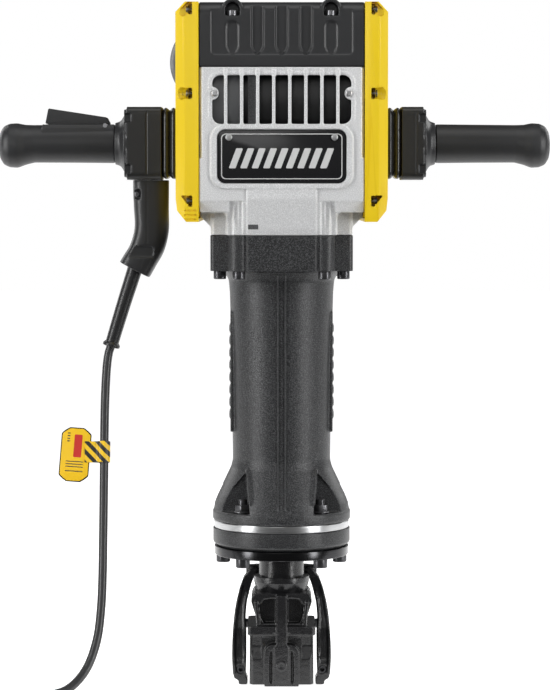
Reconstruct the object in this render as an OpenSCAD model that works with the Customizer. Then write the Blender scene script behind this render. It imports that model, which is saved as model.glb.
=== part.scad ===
// Demolition hammer: a two-handled electric breaker standing on its tool holder.
// Z is up, X runs along the handles, the front faces -Y. The origin is the middle of the nose's bottom face.

/* [Nose] */
// Width of the square nose block
nose_w = 72; // [60:1:84]
// Depth of the nose block
nose_d = 84; // [70:1:90]
// Height of the nose block
nose_block_h = 61; // [50:1:70]
// Width across the flats of the tool shank
hex_af = 28; // [22:1:32]

/* [Latch] */
// Height of the latch pivot pin
latch_z = 66; // [62:1:70]
// How far behind the tool axis the pivot pin sits
latch_y = 26; // [24:1:30]
// Radius of the latch pivot pin
latch_pin_r = 5.2; // [4:0.1:6]

/* [Flanges] */
// Radius of the clamp plate
plate_r = 76.5; // [70:0.5:82]
// Radius of the lower flange
flange_r = 78; // [72:0.5:84]
// Radius of the bolt circle
bolt_pcd_r = 66.5; // [60:0.5:68]

/* [Barrel] */
// Radius of the barrel at its waist
barrel_r = 55.5; // [52:0.5:60]
// Radius of the barrel under the collar
barrel_top_r = 59; // [55:0.5:64]
// Radius of the bore that holds the cylinder
bore_r = 38; // [36:0.5:42]

/* [Housing] */
// Half width of the silver housing
house_x = 91; // [80:1:100]
// Half depth of the silver housing
house_y = 100; // [90:1:110]
// Height of the joint between housing and top cover
cap_z = 700; // [680:1:720]
// Height of the top
top_z = 775; // [760:1:790]
// Half width over the yellow side covers
cover_x = 117; // [108:1:124]

/* [Handles] */
// Height of the middle of the grips
grip_z = 617.6; // [600:0.2:640]
// Radius of a grip
grip_r = 22.5; // [19:0.5:25]
// Free travel of a handle each way
float_mm = 5; // [2:0.5:6]

/* [Drive] */
// Height of the crank axis
crank_z = 574; // [570:1:580]
// Throw of the crank
throw_r = 14; // [10:1:14]
// Module of the crank gear teeth
mod_slow = 2.5; // [2:0.25:3]
// Module of the rotor pinion teeth
mod_fast = 1.75; // [1.5:0.25:2]

/* [Cord] */
// Diameter of the mains cord
cord_d = 10; // [8:0.5:11]

/* [Hidden] */
mid_z = crank_z + mod_slow * 24;
rotor_z = mid_z + mod_fast * 24;
bolt_angles = [0, 49, 131, 180, 229, 311];
fit = 0.05;
gap = 0.25;
collar_screws_at = [[47.5, 76], [69, 55]];
route = [[-194.5, 0, 387], [-197, -0.3, 379], [-199, -3, 362], [-200.5, -8, 330], [-201, -15, 292],
         [-201, -24, 252], [-201, -34, 212], [-201, -45, 172], [-201, -57, 134], [-202, -70, 98],
         [-206, -84, 64], [-217, -97, 34], [-236, -107, 14], [-260, -110, 7], [-290, -110, 6],
         [-325, -110, 6], [-378, -110, 6]];
coil_at = [-405, -40];

module rrect(w, d, r) {
  square([w - 2 * r, d], center = true);
  square([w, d - 2 * r], center = true);
  for (sx = [-1, 1]) for (sy = [-1, 1])
    translate([sx * (w / 2 - r), sy * (d / 2 - r)]) circle(r = r, $fn = 48);
}

module block(w, d, h, r) {
  linear_extrude(h) rrect(w, d, r);
}

// Runs a profile drawn in (x, z) from y0 back to y1.
module along_y(y0, y1) {
  translate([0, y1, 0]) rotate([90, 0, 0]) linear_extrude(y1 - y0) children();
}

// Runs a profile drawn in (y, z) from x0 to x1.
module along_x(x0, x1) {
  translate([x0, 0, 0]) rotate([90, 0, 90]) linear_extrude(x1 - x0) children();
}

module xrod(r, x0, x1) {
  translate([x0, 0, 0]) rotate([0, 90, 0]) cylinder(r = r, h = x1 - x0, $fn = 64);
}

module yrod(r, y0, y1) {
  translate([0, y1, 0]) rotate([90, 0, 0]) cylinder(r = r, h = y1 - y0, $fn = 64);
}

module zrod(r, z0, z1) {
  translate([0, 0, z0]) cylinder(r = r, h = z1 - z0, $fn = 64);
}

module ring(r_out, r_in, z0, z1) {
  difference() {
    zrod(r_out, z0, z1);
    zrod(r_in, z0 - 1, z1 + 1);
  }
}

// A socket screw: the head stands on z = 0 and the shank runs down.
module socket_screw(hr, hh, sr, sl) {
  difference() {
    union() {
      zrod(hr, 0, hh);
      zrod(sr, -sl, 1);
    }
    translate([0, 0, hh - hh * 0.55]) cylinder(r = hr * 0.6, h = hh, $fn = 6);
  }
}

module gear_2d(n, m, bore) {
  rp = n * m / 2;
  ra = rp + 0.85 * m;
  rf = rp - 1.15 * m;
  step = 360 / n;
  function at(r, a) = [r * cos(a), r * sin(a)];
  pts = [for (i = [0:n - 1]) for (k = [[rf, -0.36], [rp, -0.215], [ra, -0.1], [ra, 0.1], [rp, 0.215],
         [rf, 0.36]]) at(k[0], (i + k[1]) * step)];
  difference() {
    polygon(pts);
    circle(r = bore, $fn = 64);
  }
}

function lerp3(p, q, t) = [for (i = [0:2]) p[i] + (q[i] - p[i]) * t];
function smooth(p, i, t) = let (a = p[max(i - 1, 0)], b = p[i], c = p[i + 1], d = p[min(i + 2, len(p) - 1)])
  0.5 * ((2 * b) + (c - a) * t + (2 * a - 5 * b + 4 * c - d) * t * t + (3 * b - a - 3 * c + d) * t * t * t);
function unit(v) = v / norm(v);
function curve(p, k) = concat([for (i = [0:len(p) - 2]) for (j = [0:k - 1]) smooth(p, i, j / k)],
  [p[len(p) - 1]]);

// A tube swept along a line of points, with its rings kept level with the sideways direction "up".
module sweep(p, r, sides, up) {
  n = len(p);
  dirs = [for (i = [0:n - 1]) unit(p[min(i + 1, n - 1)] - p[max(i - 1, 0)])];
  pts = [for (i = [0:n - 1]) let (u = unit(cross(dirs[i], up)), v = cross(dirs[i], u))
         for (k = [0:sides - 1]) p[i] + r * (cos(k * 360 / sides) * u + sin(k * 360 / sides) * v)];
  side = [for (i = [0:n - 2]) for (k = [0:sides - 1])
          [i * sides + k, (i + 1) * sides + k, (i + 1) * sides + (k + 1) % sides, i * sides + (k + 1) % sides]];
  first = [[for (k = [0:sides - 1]) k]];
  last = [[for (k = [0:sides - 1]) n * sides - 1 - k]];
  polyhedron(points = pts, faces = concat(side, first, last), convexity = 8);
}

// ---- tool holder ----

module nose() {
  color("#1c1c1e") difference() {
    union() {
      block(nose_w, nose_d, nose_block_h, 10);
      intersection() {
        along_y(-60, 60) polygon([[-36, 55], [-33, 64], [-31, 73], [-32, 88], [-36, 103], [-31, 108], [31, 108],
          [36, 103], [32, 88], [31, 73], [33, 64], [36, 55]]);
        block(80, 70, 120, 22);
      }
      zrod(26, 100, 161);
      zrod(50, 161, 171.5);
      translate([0, -37, 24]) along_y(-7, 4) rrect(22, 48, 4);
    }
    zrod(20, -1, 152);
    zrod(24, 150, 173);
    // Recesses beside the centre rib, and under the arch of the lower block.
    for (s = [-1, 1]) {
      translate([s * 11, 0, 78]) along_y(-60, -29) rrect(14, 44, 5);
      translate([s * 15.5, 0, 25]) along_y(-60, -36) rrect(7, 42, 3);
      translate([s * 29, 0, 55]) along_y(-60, -36) rrect(16, 16, 4);
    }
    // The pivot pin crosses behind the tool shank.
    translate([0, latch_y, latch_z]) xrod(latch_pin_r, -60, 60);
    translate([0, 46, 24]) along_y(-5, 6) rrect(30, 34, 5);
  }
}

module neck_ring() {
  color("#222224") rotate_extrude($fn = 96)
    polygon([[26, 108.3], [28.5, 108.3], [31.5, 120], [31.5, 126], [26, 126]]);
}

module hex_bush() {
  color("#5b5d60") difference() {
    zrod(20, 0.4, 150);
    translate([0, 0, -1]) cylinder(r = (hex_af + 0.5) / 2 / cos(30), h = 160, $fn = 6);
    translate([0, 0, -5]) cylinder(r1 = 26, r2 = 14, h = 12, $fn = 64);
  }
}

module latch_pivot() {
  color("#2c2c2e") translate([0, latch_y, latch_z]) {
    xrod(latch_pin_r, -54.2, 54.2);
  }
}

module latch_arm() {
  intersection() {
    along_y(-40, 60) polygon([[38.5, 1], [49, 1], [49, 6], [54, 9], [55.6, 15], [56.7, 30], [56.7, 47], [55.3, 63],
      [53, 78], [49.8, 92], [45.5, 107], [41.7, 118], [33, 131], [27, 128], [34, 113], [37, 103],
      [39.8, 92], [41.3, 74], [40.2, 60], [40, 30], [40.6, 12], [38.5, 8]]);
    along_x(20, 60) polygon([[-14, 0], [10, 0], [16, 20], [24, 40], [36, 54], [38, 66], [36, 78], [38, 100],
      [50, 118], [50, 134], [34, 134], [33, 118], [22, 98], [14, 78], [8, 62], [-4, 46], [-14, 30]]);
  }
}

module retainer_latch() {
  color("#1a1a1c") difference() {
    union() {
      for (s = [0, 1]) mirror([s, 0, 0]) latch_arm();
      // The loop behind the neck, which a foot or hand presses.
      intersection() {
        translate([0, 0, 118]) difference() {
          block(82, 104, 14, 30);
          translate([0, 0, -1]) block(66, 72, 16, 26);
        }
        translate([-60, 34, 110]) cube([120, 30, 30]);
      }
    }
    translate([0, latch_y, latch_z]) xrod(latch_pin_r + fit, -70, 70);
    for (s = [-1, 1]) translate([s * 46.5, 0, 19]) yrod(4.5, -40, 40);
  }
}

module latch_cross_pins() {
  color("#3a3a3d") for (s = [-1, 1]) translate([s * 46.5, 0, 19]) difference() {
    yrod(4.5, -12.5, 14);
    yrod(2.4, -30, 30);
  }
}

// ---- flanges and barrel ----

module bolt_places() {
  for (a = bolt_angles) rotate([0, 0, a]) translate([bolt_pcd_r, 0, 0]) children();
}

module clamp_plate() {
  color("#3b3b3e") difference() {
    zrod(plate_r, 151, 161);
    zrod(26 + gap, 140, 170);
    bolt_places() zrod(5 + gap, 140, 170);
  }
}

module lower_flange() {
  color("#1d1d1f") difference() {
    rotate_extrude($fn = 128) union() {
      polygon([[38, 161], [74, 161], [78, 165], [78, 182], [38, 182]]);
      translate([74, 165]) circle(r = 4, $fn = 48);
    }
    zrod(50 + gap, 160, 171.5);
    bolt_places() zrod(5 + gap, 150, 190);
  }
}

module damper_ring() {
  color("#c9cacc") difference() {
    ring(77, bore_r, 182, 190.4);
    bolt_places() zrod(5 + gap, 150, 200);
  }
}

module flange_bolts() {
  color("#2a2a2c") bolt_places() translate([0, 0, 151]) mirror([0, 0, 1]) socket_screw(8, 10, 5, 68);
}

module flange_nuts() {
  color("#303033") bolt_places() difference() {
    translate([0, 0, 204]) cylinder(r = 9.2, h = 9, $fn = 6);
    zrod(5 + fit, 200, 220);
  }
}

module barrel() {
  color("#2b2c2e") difference() {
    union() {
      rotate_extrude($fn = 128) polygon([[bore_r, 190.4], [77, 190.4], [78.4, 192], [78.4, 201], [77, 203],
        [76, 210], [72.8, 219], [57.5, 251], [barrel_r, 258], [57, 380], [barrel_top_r, 457],
        [barrel_top_r, 475], [bore_r, 475]]);
      // Raised band along the front and the back.
      for (y = [-58.7, 50]) translate([-6.5, y, 204]) cube([13, 8.7, 267]);
      // Ribbed grip pads at the sides.
      for (s = [-1, 1]) for (i = [0:10]) translate([s * 52, 0, 287 + i * 13]) along_y(-19, 19) rrect(16, 10.5, 2.5);
      for (s = [-1, 1]) translate([s * 51.5, 0, 355]) along_y(-22, 22) rrect(14, 168, 3);
    }
    zrod(bore_r, 180, 480);
    // Groove in the front band.
    for (s = [-1, 1]) translate([0, s * 59.5, 340]) along_y(-2, 2) rrect(6, 262, 2.9);
    // Nut pockets in the foot of the cone.
    for (sx = [-1, 1]) for (sy = [-1, 1]) mirror([sx < 0 ? 1 : 0, 0, 0]) mirror([0, sy < 0 ? 0 : 1, 0])
      along_y(-95, -37) polygon([[34.5, 204], [34.5, 244], [37, 244], [66, 212], [66, 204]]);
    for (s = [-1, 1]) translate([s * bolt_pcd_r, 0, 0]) zrod(10, 204, 232);
    bolt_places() zrod(5 + gap, 180, 210);
  }
}

module gearbox_collar() {
  color("#262729") difference() {
    linear_extrude(40) collar_2d(0);
    translate([0, 0, -1]) zrod(bore_r + gap, 0, 10);
    translate([0, 0, -1]) zrod(54, 6, 60);
    for (p = collar_screws_at) for (sx = [-1, 1]) for (sy = [-1, 1])
      translate([sx * p[0], sy * p[1], -1]) zrod(4 + gap, 0, 60);
  }
}

module collar_2d(g) {
  circle(r = 72 + g, $fn = 96);
  square([159 + 2 * g, 108 + 2 * g], center = true);
  square([86 + 2 * g, 172 + 2 * g], center = true);
  square([76 + 2 * g, 178 + 2 * g], center = true);
  for (sx = [-1, 1]) for (sy = [-1, 1]) {
    translate([sx * 47.5, sy * 76]) circle(r = 11.5 + g, $fn = 48);
    translate([sx * 68.5, sy * 55]) circle(r = 11 + g, $fn = 48);
  }
}

module collar_screws() {
  color("#29292b") for (p = collar_screws_at) for (sx = [-1, 1]) for (sy = [-1, 1])
    translate([sx * p[0], sy * p[1], 475]) mirror([0, 0, 1]) socket_screw(7, 9, 4, 46);
}

// ---- motor housing ----

module house_solid(g) {
  intersection() {
    along_y(-120, 120) polygon([[-79.5 + g, 515 + g], [-79.5 + g, 524 + g], [-house_x + g, 536 + g],
      [-house_x + g, cap_z + g], [house_x - g, cap_z + g], [house_x - g, 536 + g], [79.5 - g, 524 + g],
      [79.5 - g, 515 + g]]);
    along_x(-120, 120) polygon([[-86 + g, 515 + g], [-90 + g, 521 + g], [-house_y + g, 548 + g],
      [-house_y + g, cap_z + g], [house_y - g, cap_z + g], [house_y - g, 548 + g], [90 - g, 521 + g],
      [86 - g, 515 + g]]);
  }
}

module grille_window() {
  difference() {
    translate([0, 0, 664.3]) along_y(-110, -90) rrect(152.6, 53.4, 9);
    for (i = [-3.5:1:3.5]) translate([i * 17.58, 0, 664]) along_y(-115, -80) rrect(3.9, 70, 1.9);
    for (s = [-1, 1]) translate([s * 76, 0, 671]) along_y(-115, -80) circle(r = 8, $fn = 48);
  }
}

module motor_housing() {
  color("#b9bbbd") difference() {
    union() {
      difference() {
        house_solid(0);
        house_solid(5);
      }
      // Bezel, boss below it, grille ribs.
      for (s = [0, 1]) mirror([0, s, 0]) {
        translate([0, 0, 601.9]) along_y(-house_y - 3, -95) difference() {
          rrect(155.4, 70.2, 18);
          rrect(142.8, 59.8, 9.3);
        }
        intersection() {
          along_y(-120, -80) union() {
            translate([-38, 515]) square([76, 54]);
            translate([-43, 515]) square([86, 40]);
          }
          along_x(-60, 60) polygon([[-89, 515], [-93, 522], [-102.5, 555], [-102.5, 569], [-92, 569], [-80, 515]]);
        }
        for (i = [-3.5:1:3.5]) translate([i * 17.58, 0, 667.5]) along_y(-house_y - 2.5, -95.5) rrect(3.9, 60, 1.9);
      }
      // Bosses for the bearings and the screws from below.
      translate([0, 0, crank_z]) xrod(29, -89, -75.5);
      translate([0, 0, mid_z]) xrod(20, -89, -75.5);
      translate([0, 0, rotor_z]) xrod(20, 77.5, 89);
      for (p = collar_screws_at) for (sx = [-1, 1]) for (sy = [-1, 1])
        translate([sx * min(p[0], 66), sy * (p[1] > 60 ? 74 : 55), 0]) zrod(9.5, 515, 528);
    }
    translate([0, 0, 510]) zrod(54, 0, 11);
    for (s = [0, 1]) mirror([0, s, 0]) grille_window();
    translate([0, 0, crank_z]) xrod(22, -88, -75);
    translate([0, 0, mid_z]) xrod(14, -88, -75);
    translate([0, 0, rotor_z]) xrod(13, 77, 88);
    for (p = collar_screws_at) for (sx = [-1, 1]) for (sy = [-1, 1])
      translate([sx * p[0], sy * p[1], 0]) zrod(4 + gap, 510, 522);
    for (p = cover_screw_at) for (sx = [-1, 1]) for (sy = [-1, 1])
      translate([0, sy * p[0], p[1]]) xrod(2.2 + gap, sx > 0 ? 80 : -95, sx > 0 ? 95 : -80);
    translate([0, 0, grip_z]) for (s = [-1, 1]) translate([s * 89, 0, 0]) for (y = [-18, 18])
      translate([0, y, 0]) xrod(4 + gap, -6, 6);
    for (s = [-1, 1]) translate([s * 58, 0, 623]) yrod(2 + gap, -105, -92);
    for (s = [-1, 1]) for (q = [-1, 1]) translate([s * 73.5, 0, 671]) yrod(2 + gap, q > 0 ? 90 : -105, q > 0 ? 105 : -90);
  }
}

module top_profile(g) {
  translate([-house_y + g, cap_z]) square([2 * (house_y - g), top_z - cap_z - 14]);
  translate([-house_y + 14, cap_z]) square([2 * (house_y - 14), top_z - cap_z - g]);
  for (s = [-1, 1]) translate([s * (house_y - 14), top_z - 14]) circle(r = 14 - g, $fn = 64);
}

module top_cover() {
  color("#232426") difference() {
    union() {
      along_x(-house_x + 0.2, house_x - 0.2) top_profile(0);
      for (s = [-1, 1]) for (q = [-1, 1]) translate([s * 54, 0, 765]) along_y(q > 0 ? 80 : -100, q > 0 ? 100 : -80)
        union() {
          circle(r = 11.8, $fn = 64);
          translate([-11.8, -12]) square([23.6, 12]);
        }
    }
    difference() {
      translate([0, 0, -1]) along_x(-house_x + 4, house_x - 4) top_profile(4);
      for (s = [-1, 1]) for (q = [-1, 1]) translate([s * 54, q * 91, 690]) zrod(10.5, 0, 90);
    }
    for (s = [0, 1]) mirror([0, s, 0]) {
      // Recessed panel with flutes.
      translate([0, 0, 738]) along_y(-110, -98.8) rrect(156, 50, 5);
      for (i = [-1:1]) translate([i * 26.6, 0, 741.5]) along_y(-110, -97.4) rrect(13.6, 57, 6.7);
      for (i = [-1, 1]) translate([i * 54, 0, 732]) along_y(-110, -97.4) rrect(13.6, 38, 6.7);
      // Arched pockets for the screws.
      for (i = [-1, 1]) translate([i * 54, 0, 764]) along_y(-112, -87.5) union() {
        circle(r = 8, $fn = 64);
        translate([-8, -8]) square([16, 8]);
      }
      for (i = [-1, 1]) translate([i * 54, -93.5, 0]) zrod(2.5 + gap, 690, 760);
      // Holes for the side covers' screws.
      for (x = [-95, 84]) translate([0, -91, 763]) xrod(2.2 + gap, x, x + 11);
    }
  }
}

cover_screw_at = [[93, 553], [93, 671], [91, 763]];

module cover_solid(g) {
  intersection() {
    along_y(-120, 120) polygon([[house_x, 530 + g], [107, 530 + g], [cover_x - g, 540 + g], [cover_x - g, 765 - g],
      [107 - g * 0.4, top_z - g], [house_x, top_z - g]]);
    linear_extrude(900) polygon([[house_x, -house_y - 1 + g], [107, -house_y - 1 + g], [cover_x - g, -88 + g * 0.4],
      [cover_x - g, 88 - g * 0.4], [107, house_y + 1 - g], [house_x, house_y + 1 - g]]);
  }
}

module side_cover() {
  difference() {
    union() {
      difference() {
        cover_solid(0);
        difference() {
          translate([-0.5, 0, 0]) cover_solid(3.2);
          for (p = cover_screw_at) for (s = [-1, 1]) translate([0, s * p[0], p[1]]) along_x(80, 120) square([22, 21], center = true);
        }
      }
    }
    // Screw pockets entered from the side.
    for (p = cover_screw_at) for (s = [-1, 1]) {
      translate([0, s * p[0], p[1]]) along_x(101, 130) union() {
        circle(r = 7.4, $fn = 48);
        translate([s > 0 ? 0 : -20, -7.4]) square([20, 14.8]);
      }
      translate([0, s * p[0], p[1]]) xrod(2.2 + gap, 80, 110);
    }
    // Opening for the handle mount.
    translate([0, 0, grip_z]) along_x(100, 130) rrect(40, 38, 4);
  }
}

module side_cover_left() {
  color("#f2c400") mirror([1, 0, 0]) difference() {
    side_cover();
    for (i = [0:2]) translate([0, 0, 535 + i * 5.2]) along_x(105, 125) rrect(90, 2.6, 1.2);
    translate([0, 0, 709]) xrod(5 + gap, 110, 125);
  }
}

module side_cover_right() {
  color("#f2c400") side_cover();
}

module case_screws() {
  color("#3f4043") for (sx = [-1, 1]) for (sy = [-1, 1]) translate([sx * 54, sy * 93.5, 756])
    socket_screw(5, 6, 2.5, 52);
  color("#3f4043") for (p = cover_screw_at) for (sx = [0, 1]) for (sy = [-1, 1]) mirror([sx, 0, 0])
    translate([101, sy * p[0], p[1]]) rotate([0, 90, 0]) socket_screw(4.2, 4, 2.2, 16);
}

module nameplate() {
  color("#161618") translate([0, 0, 602]) difference() {
    along_y(-house_y - 1.6, -house_y) rrect(142, 59, 9);
    for (s = [-1, 1]) translate([s * 58, 0, 21]) yrod(2 + gap, -105, -92);
  }
}

module front_screws() {
  color("#b0b2b5") {
    for (s = [-1, 1]) translate([s * 58, -house_y - 1.6, 623]) rotate([90, 0, 0]) socket_screw(3.8, 2.2, 2, 7);
    for (s = [-1, 1]) for (q = [0, 1]) mirror([0, q, 0]) translate([s * 73.5, -house_y, 671]) rotate([90, 0, 0])
      socket_screw(4, 2.6, 2, 7);
  }
}

module air_shroud() {
  color("#1b1c1e") translate([0, 0, rotor_z]) difference() {
    xrod(62, -25.5, 60);
    xrod(60, -30, 70);
    along_x(-30, 70) translate([-70, 27]) square([140, 60]);
  }
}

module side_cap() {
  color("#1f2023") translate([0, 0, 709]) {
    xrod(5, -118, -112);
    intersection() {
      translate([-117 + 39.3, 0, 0]) sphere(r = 48.5, $fn = 96);
      translate([-130, -40, -40]) cube([13, 80, 80]);
    }
  }
}

// ---- drive ----

module gear_carrier() {
  color("#8d8f92") translate([-37, 0, 0]) difference() {
    along_x(0, 11) translate([0, 609]) rrect(189, 178, 6);
    translate([0, 0, crank_z]) xrod(22, -2, 14);
    translate([0, 0, mid_z]) xrod(14, -2, 14);
    translate([0, 0, rotor_z]) xrod(13, -2, 14);
  }
}

module bearing(r_in, r_out, x0, x1) {
  difference() {
    xrod(r_out, x0, x1);
    xrod(r_in + fit, x0 - 1, x1 + 1);
  }
}

module bearings() {
  color("#9fa2a6") {
    translate([0, 0, crank_z]) {
      bearing(12, 22, -37, -26);
      bearing(12, 22, -88, -76);
    }
    translate([0, 0, mid_z]) {
      bearing(7, 14, -37, -26);
      bearing(7, 14, -88, -76);
    }
    translate([0, 0, rotor_z]) {
      bearing(6, 13, -37, -26);
      bearing(6, 13, 78, 88);
    }
  }
}

module stator() {
  color("#6a5a4a") translate([0, 0, rotor_z]) difference() {
    xrod(48, -20, 42);
    xrod(27.6, -30, 60);
    for (a = [45, 135, 225, 315]) rotate([a, 0, 0]) translate([0, 0, 38]) xrod(5, -30, 60);
  }
}

module brush_holders() {
  color("#8a6d3b") translate([0, 0, rotor_z]) for (a = [90, -90]) rotate([a, 0, 0])
    translate([69, 0, 16.5]) linear_extrude(30) rrect(9, 14, 1.5);
}

module rotor() {
  color("#77787b") translate([0, 0, rotor_z]) {
    xrod(6, -52, 86);
    xrod(27, -18, 40);
    translate([-52, 0, 0]) rotate([90, 0, 90]) rotate([0, 0, 18]) linear_extrude(12) gear_2d(10, mod_fast, 0.01);
  }
}

module fan() {
  color("#3c3d40") translate([0, 0, rotor_z]) difference() {
    union() {
      xrod(44, 46, 48);
      xrod(10, 46, 58);
      for (i = [0:10]) rotate([i * 360 / 11, 0, 0]) translate([46, -1, 9]) cube([12, 2, 34]);
    }
    xrod(6, 40, 62);
  }
}

module commutator() {
  color("#b87333") translate([0, 0, rotor_z]) difference() {
    xrod(16, 62, 76);
    xrod(6, 60, 80);
  }
}

module intermediate_gear() {
  color("#6f7174") translate([0, 0, mid_z]) {
    xrod(7, -86, -27);
    translate([-51, 0, 0]) rotate([90, 0, 90]) linear_extrude(11) gear_2d(38, mod_fast, 0.01);
    translate([-71, 0, 0]) rotate([90, 0, 90]) rotate([0, 0, 22.5]) linear_extrude(17) gear_2d(8, mod_slow, 0.01);
  }
}

module crank_gear() {
  color("#6b6d70") translate([-70, 0, crank_z]) rotate([90, 0, 90]) linear_extrude(14) gear_2d(40, mod_slow, 12);
}

module crankshaft() {
  color("#808286") translate([0, 0, crank_z]) {
    xrod(12, -86, -20);
    difference() {
      xrod(30, -22, -9);
      translate([0, 0, 22]) along_x(-23, -8) union() {
        translate([-26, 0]) circle(r = 13, $fn = 48);
        translate([26, 0]) circle(r = 13, $fn = 48);
      }
    }
    translate([0, 0, -throw_r]) xrod(8, -10, 9);
  }
}

module con_rod() {
  big_z = crank_z - throw_r;
  color("#7b7d80") difference() {
    along_x(-7, 7) union() {
      translate([0, big_z]) circle(r = 16, $fn = 64);
      translate([0, 427]) circle(r = 10, $fn = 64);
      translate([-6, 427]) square([12, big_z - 427]);
    }
    translate([0, 0, big_z]) xrod(8 + fit, -10, 10);
    translate([0, 0, 427]) xrod(6, -10, 10);
  }
}

module piston() {
  color("#94979b") difference() {
    zrod(33, 376, 446);
    translate([-7.5, -24.5, 388]) cube([15, 49, 70]);
    translate([0, 0, 427]) xrod(5.5, -28, 28);
    difference() {
      zrod(34, 380, 384);
      zrod(30, 370, 390);
    }
  }
}

// The pin is open in the middle: this is the pivot at which the closed linkage is opened.
module wrist_pin() {
  color("#a9abae") translate([0, 0, 427]) {
    xrod(5.5, -28, -7.8);
    xrod(5.5, 7.8, 28);
  }
}

// The liner's lower end guides the beat piece.
module cylinder_part() {
  color("#85888c") difference() {
    zrod(bore_r, 174, 478);
    zrod(33 + fit, 251, 480);
    zrod(22 + fit, 170, 260);
  }
}

module ram() {
  color("#7d8084") difference() {
    union() {
      zrod(33, 262, 342);
      zrod(20, 258, 263);
    }
    difference() {
      zrod(34, 330, 334);
      zrod(30, 320, 340);
    }
  }
}

module beat_piece() {
  color("#8f9296") {
    zrod(17, 152.5, 186);
    zrod(22, 185, 246);
  }
}

// ---- handles ----

module handle_mounts() {
  color("#303134") for (s = [0, 1]) mirror([s, 0, 0]) difference() {
    union() {
      translate([house_x, -30, grip_z - 16]) cube([8, 60, 32]);
      translate([house_x, -14, grip_z - 11]) cube([s == 0 ? 66 : 77, 28, 22]);
      translate([s == 0 ? 140 : 142, -24, grip_z - 11]) cube([s == 0 ? 17 : 26, 48, 22]);
    }
    for (y = [-17, 17]) translate([s == 0 ? 150 : 155, y, 0]) zrod(5 + fit, 590, 640);
    for (y = [-18, 18]) translate([0, y, grip_z]) xrod(4, 80, 97);
  }
}

module bellows(x0, x1) {
  difference() {
    union() {
      along_x(x0, x1) translate([0, grip_z]) rrect(60, 66, 8);
      for (i = [0:1]) translate([0, 0, grip_z]) along_x(x0 + 2 + i * 6, x0 + 5.5 + i * 6) rrect(66, 72, 9);
    }
    along_x(x0 - 1, x1 + 1) translate([0, grip_z]) rrect(44, 40, 4);
  }
}

module bellows_left() {
  color("#17181a") bellows(-134.5, -cover_x);
}

module bellows_right() {
  color("#17181a") bellows(cover_x, 134.7);
}

// A hollow handle: box against the bellows, neck, and the tube inside the grip.
module handle_body(x_in, x_out, end_x) {
  difference() {
    union() {
      translate([0, 0, grip_z]) along_x(x_in, x_out) rrect(66, 82, 8);
      translate([x_out - 1, 0, grip_z]) rotate([0, 90, 0]) cylinder(r1 = 31, r2 = 21, h = 12.5, $fn = 64);
      translate([0, 0, grip_z]) xrod(17.5, x_out, end_x);
    }
    translate([0, 0, grip_z]) along_x(x_in + 4, x_out - 4) rrect(58, 72, 5);
    translate([0, 0, grip_z]) xrod(14.5, x_out - 6, end_x - 4);
    translate([0, 0, grip_z]) along_x(x_in - 1, x_in + 5) rrect(30, 34, 2);
    // Screw notches at the outer corners, front and back.
    for (q = [-1, 1]) for (v = [-1, 1]) translate([x_out - 4, q * 33, grip_z + v * 36.5]) cube([9, 14, 10], center = true);
  }
}

module handle_left() {
  color("#28292b") difference() {
    mirror([1, 0, 0]) handle_body(134.8, 177, 312);
    translate([-270, -12.5, 622]) cube([80, 25, 34]);
    translate([-199, 0, 638]) yrod(2.5, -15.5, 15.5);
    translate([-155, 0, 570]) zrod(6, 0, 15);
  }
}

module handle_right() {
  color("#28292b") handle_body(135, 162.5, 296);
}

module grip(x0, x1, slot) {
  difference() {
    translate([x0, 0, grip_z]) rotate([0, 90, 0]) rotate_extrude($fn = 96) union() {
      len = x1 - x0;
      polygon([[17.5, 0], [21.5, 0], [22.2, 8], [grip_r, len * 0.4], [22.2, len - 20], [26, len - 14], [26, len - 8],
        [23, len - 1.5], [19, len], [0, len], [0, len - 7], [17.5, len - 7]]);
    }
    if (slot) translate([190, -12.5, 626]) cube([80, 25, 30]);
  }
}

module grip_left() {
  color("#1e1f21") mirror([1, 0, 0]) grip(188.2, 320, true);
}

module grip_right() {
  color("#1e1f21") grip(174.2, 304, false);
}

module guide_rods(x) {
  for (y = [-17, 17]) translate([x, y, 0]) zrod(5, grip_z - 36, grip_z + 36);
}

// Four coil springs round the rods, two above the mount and two below it.
module float_springs(x) {
  turns = 4.5;
  for (y = [-17, 17]) for (z0 = [-34.7, 12.4]) translate([x, y, grip_z + z0])
    sweep([for (i = [0:45]) [6.7 * cos(i * 36), 6.7 * sin(i * 36), i * 22.3 / 45]], 1.1, 6, [0.001, 0, 1]);
}

module guide_rods_left() {
  color("#9c9ea1") guide_rods(-155);
}

module guide_rods_right() {
  color("#9c9ea1") guide_rods(150);
}

module float_springs_left() {
  color("#8e9093") float_springs(-155);
}

module float_springs_right() {
  color("#8e9093") float_springs(150);
}

module trigger() {
  color("#232426") difference() {
    along_y(-12, 12) polygon([[-267, 640], [-263.4, 657.5], [-197.3, 647.4], [-194, 641], [-195.5, 635],
      [-200, 633.5], [-204, 634], [-212, 631], [-262, 631], [-264, 640]]);
    translate([-199, 0, 638]) yrod(2.5 + fit, -20, 20);
  }
}

module trigger_pin() {
  color("#9c9ea1") translate([-199, 0, 638]) yrod(2.5, -15.5, 15.5);
}

module switch_body() {
  color("#3a3b3e") {
    translate([-258, -8.5, 607]) cube([50, 17, 14]);
    translate([-240, 0, 0]) zrod(4, 606, 622.3);
  }
}

module guard_2d(g) {
  polygon([[-168.5 + g, 576.6], [-127.5 - g, 576.6], [-128 - g, 516], [-131.5 - g, 503], [-136 - g, 493],
    [-155 - g * 0.6, 465 + g], [-160 - g * 0.5, 465 + g], [-183 + g, 482 + g], [-183.5 + g, 486 + g],
    [-172 + g, 505], [-168 + g, 515], [-167 + g, 530]]);
}

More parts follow.
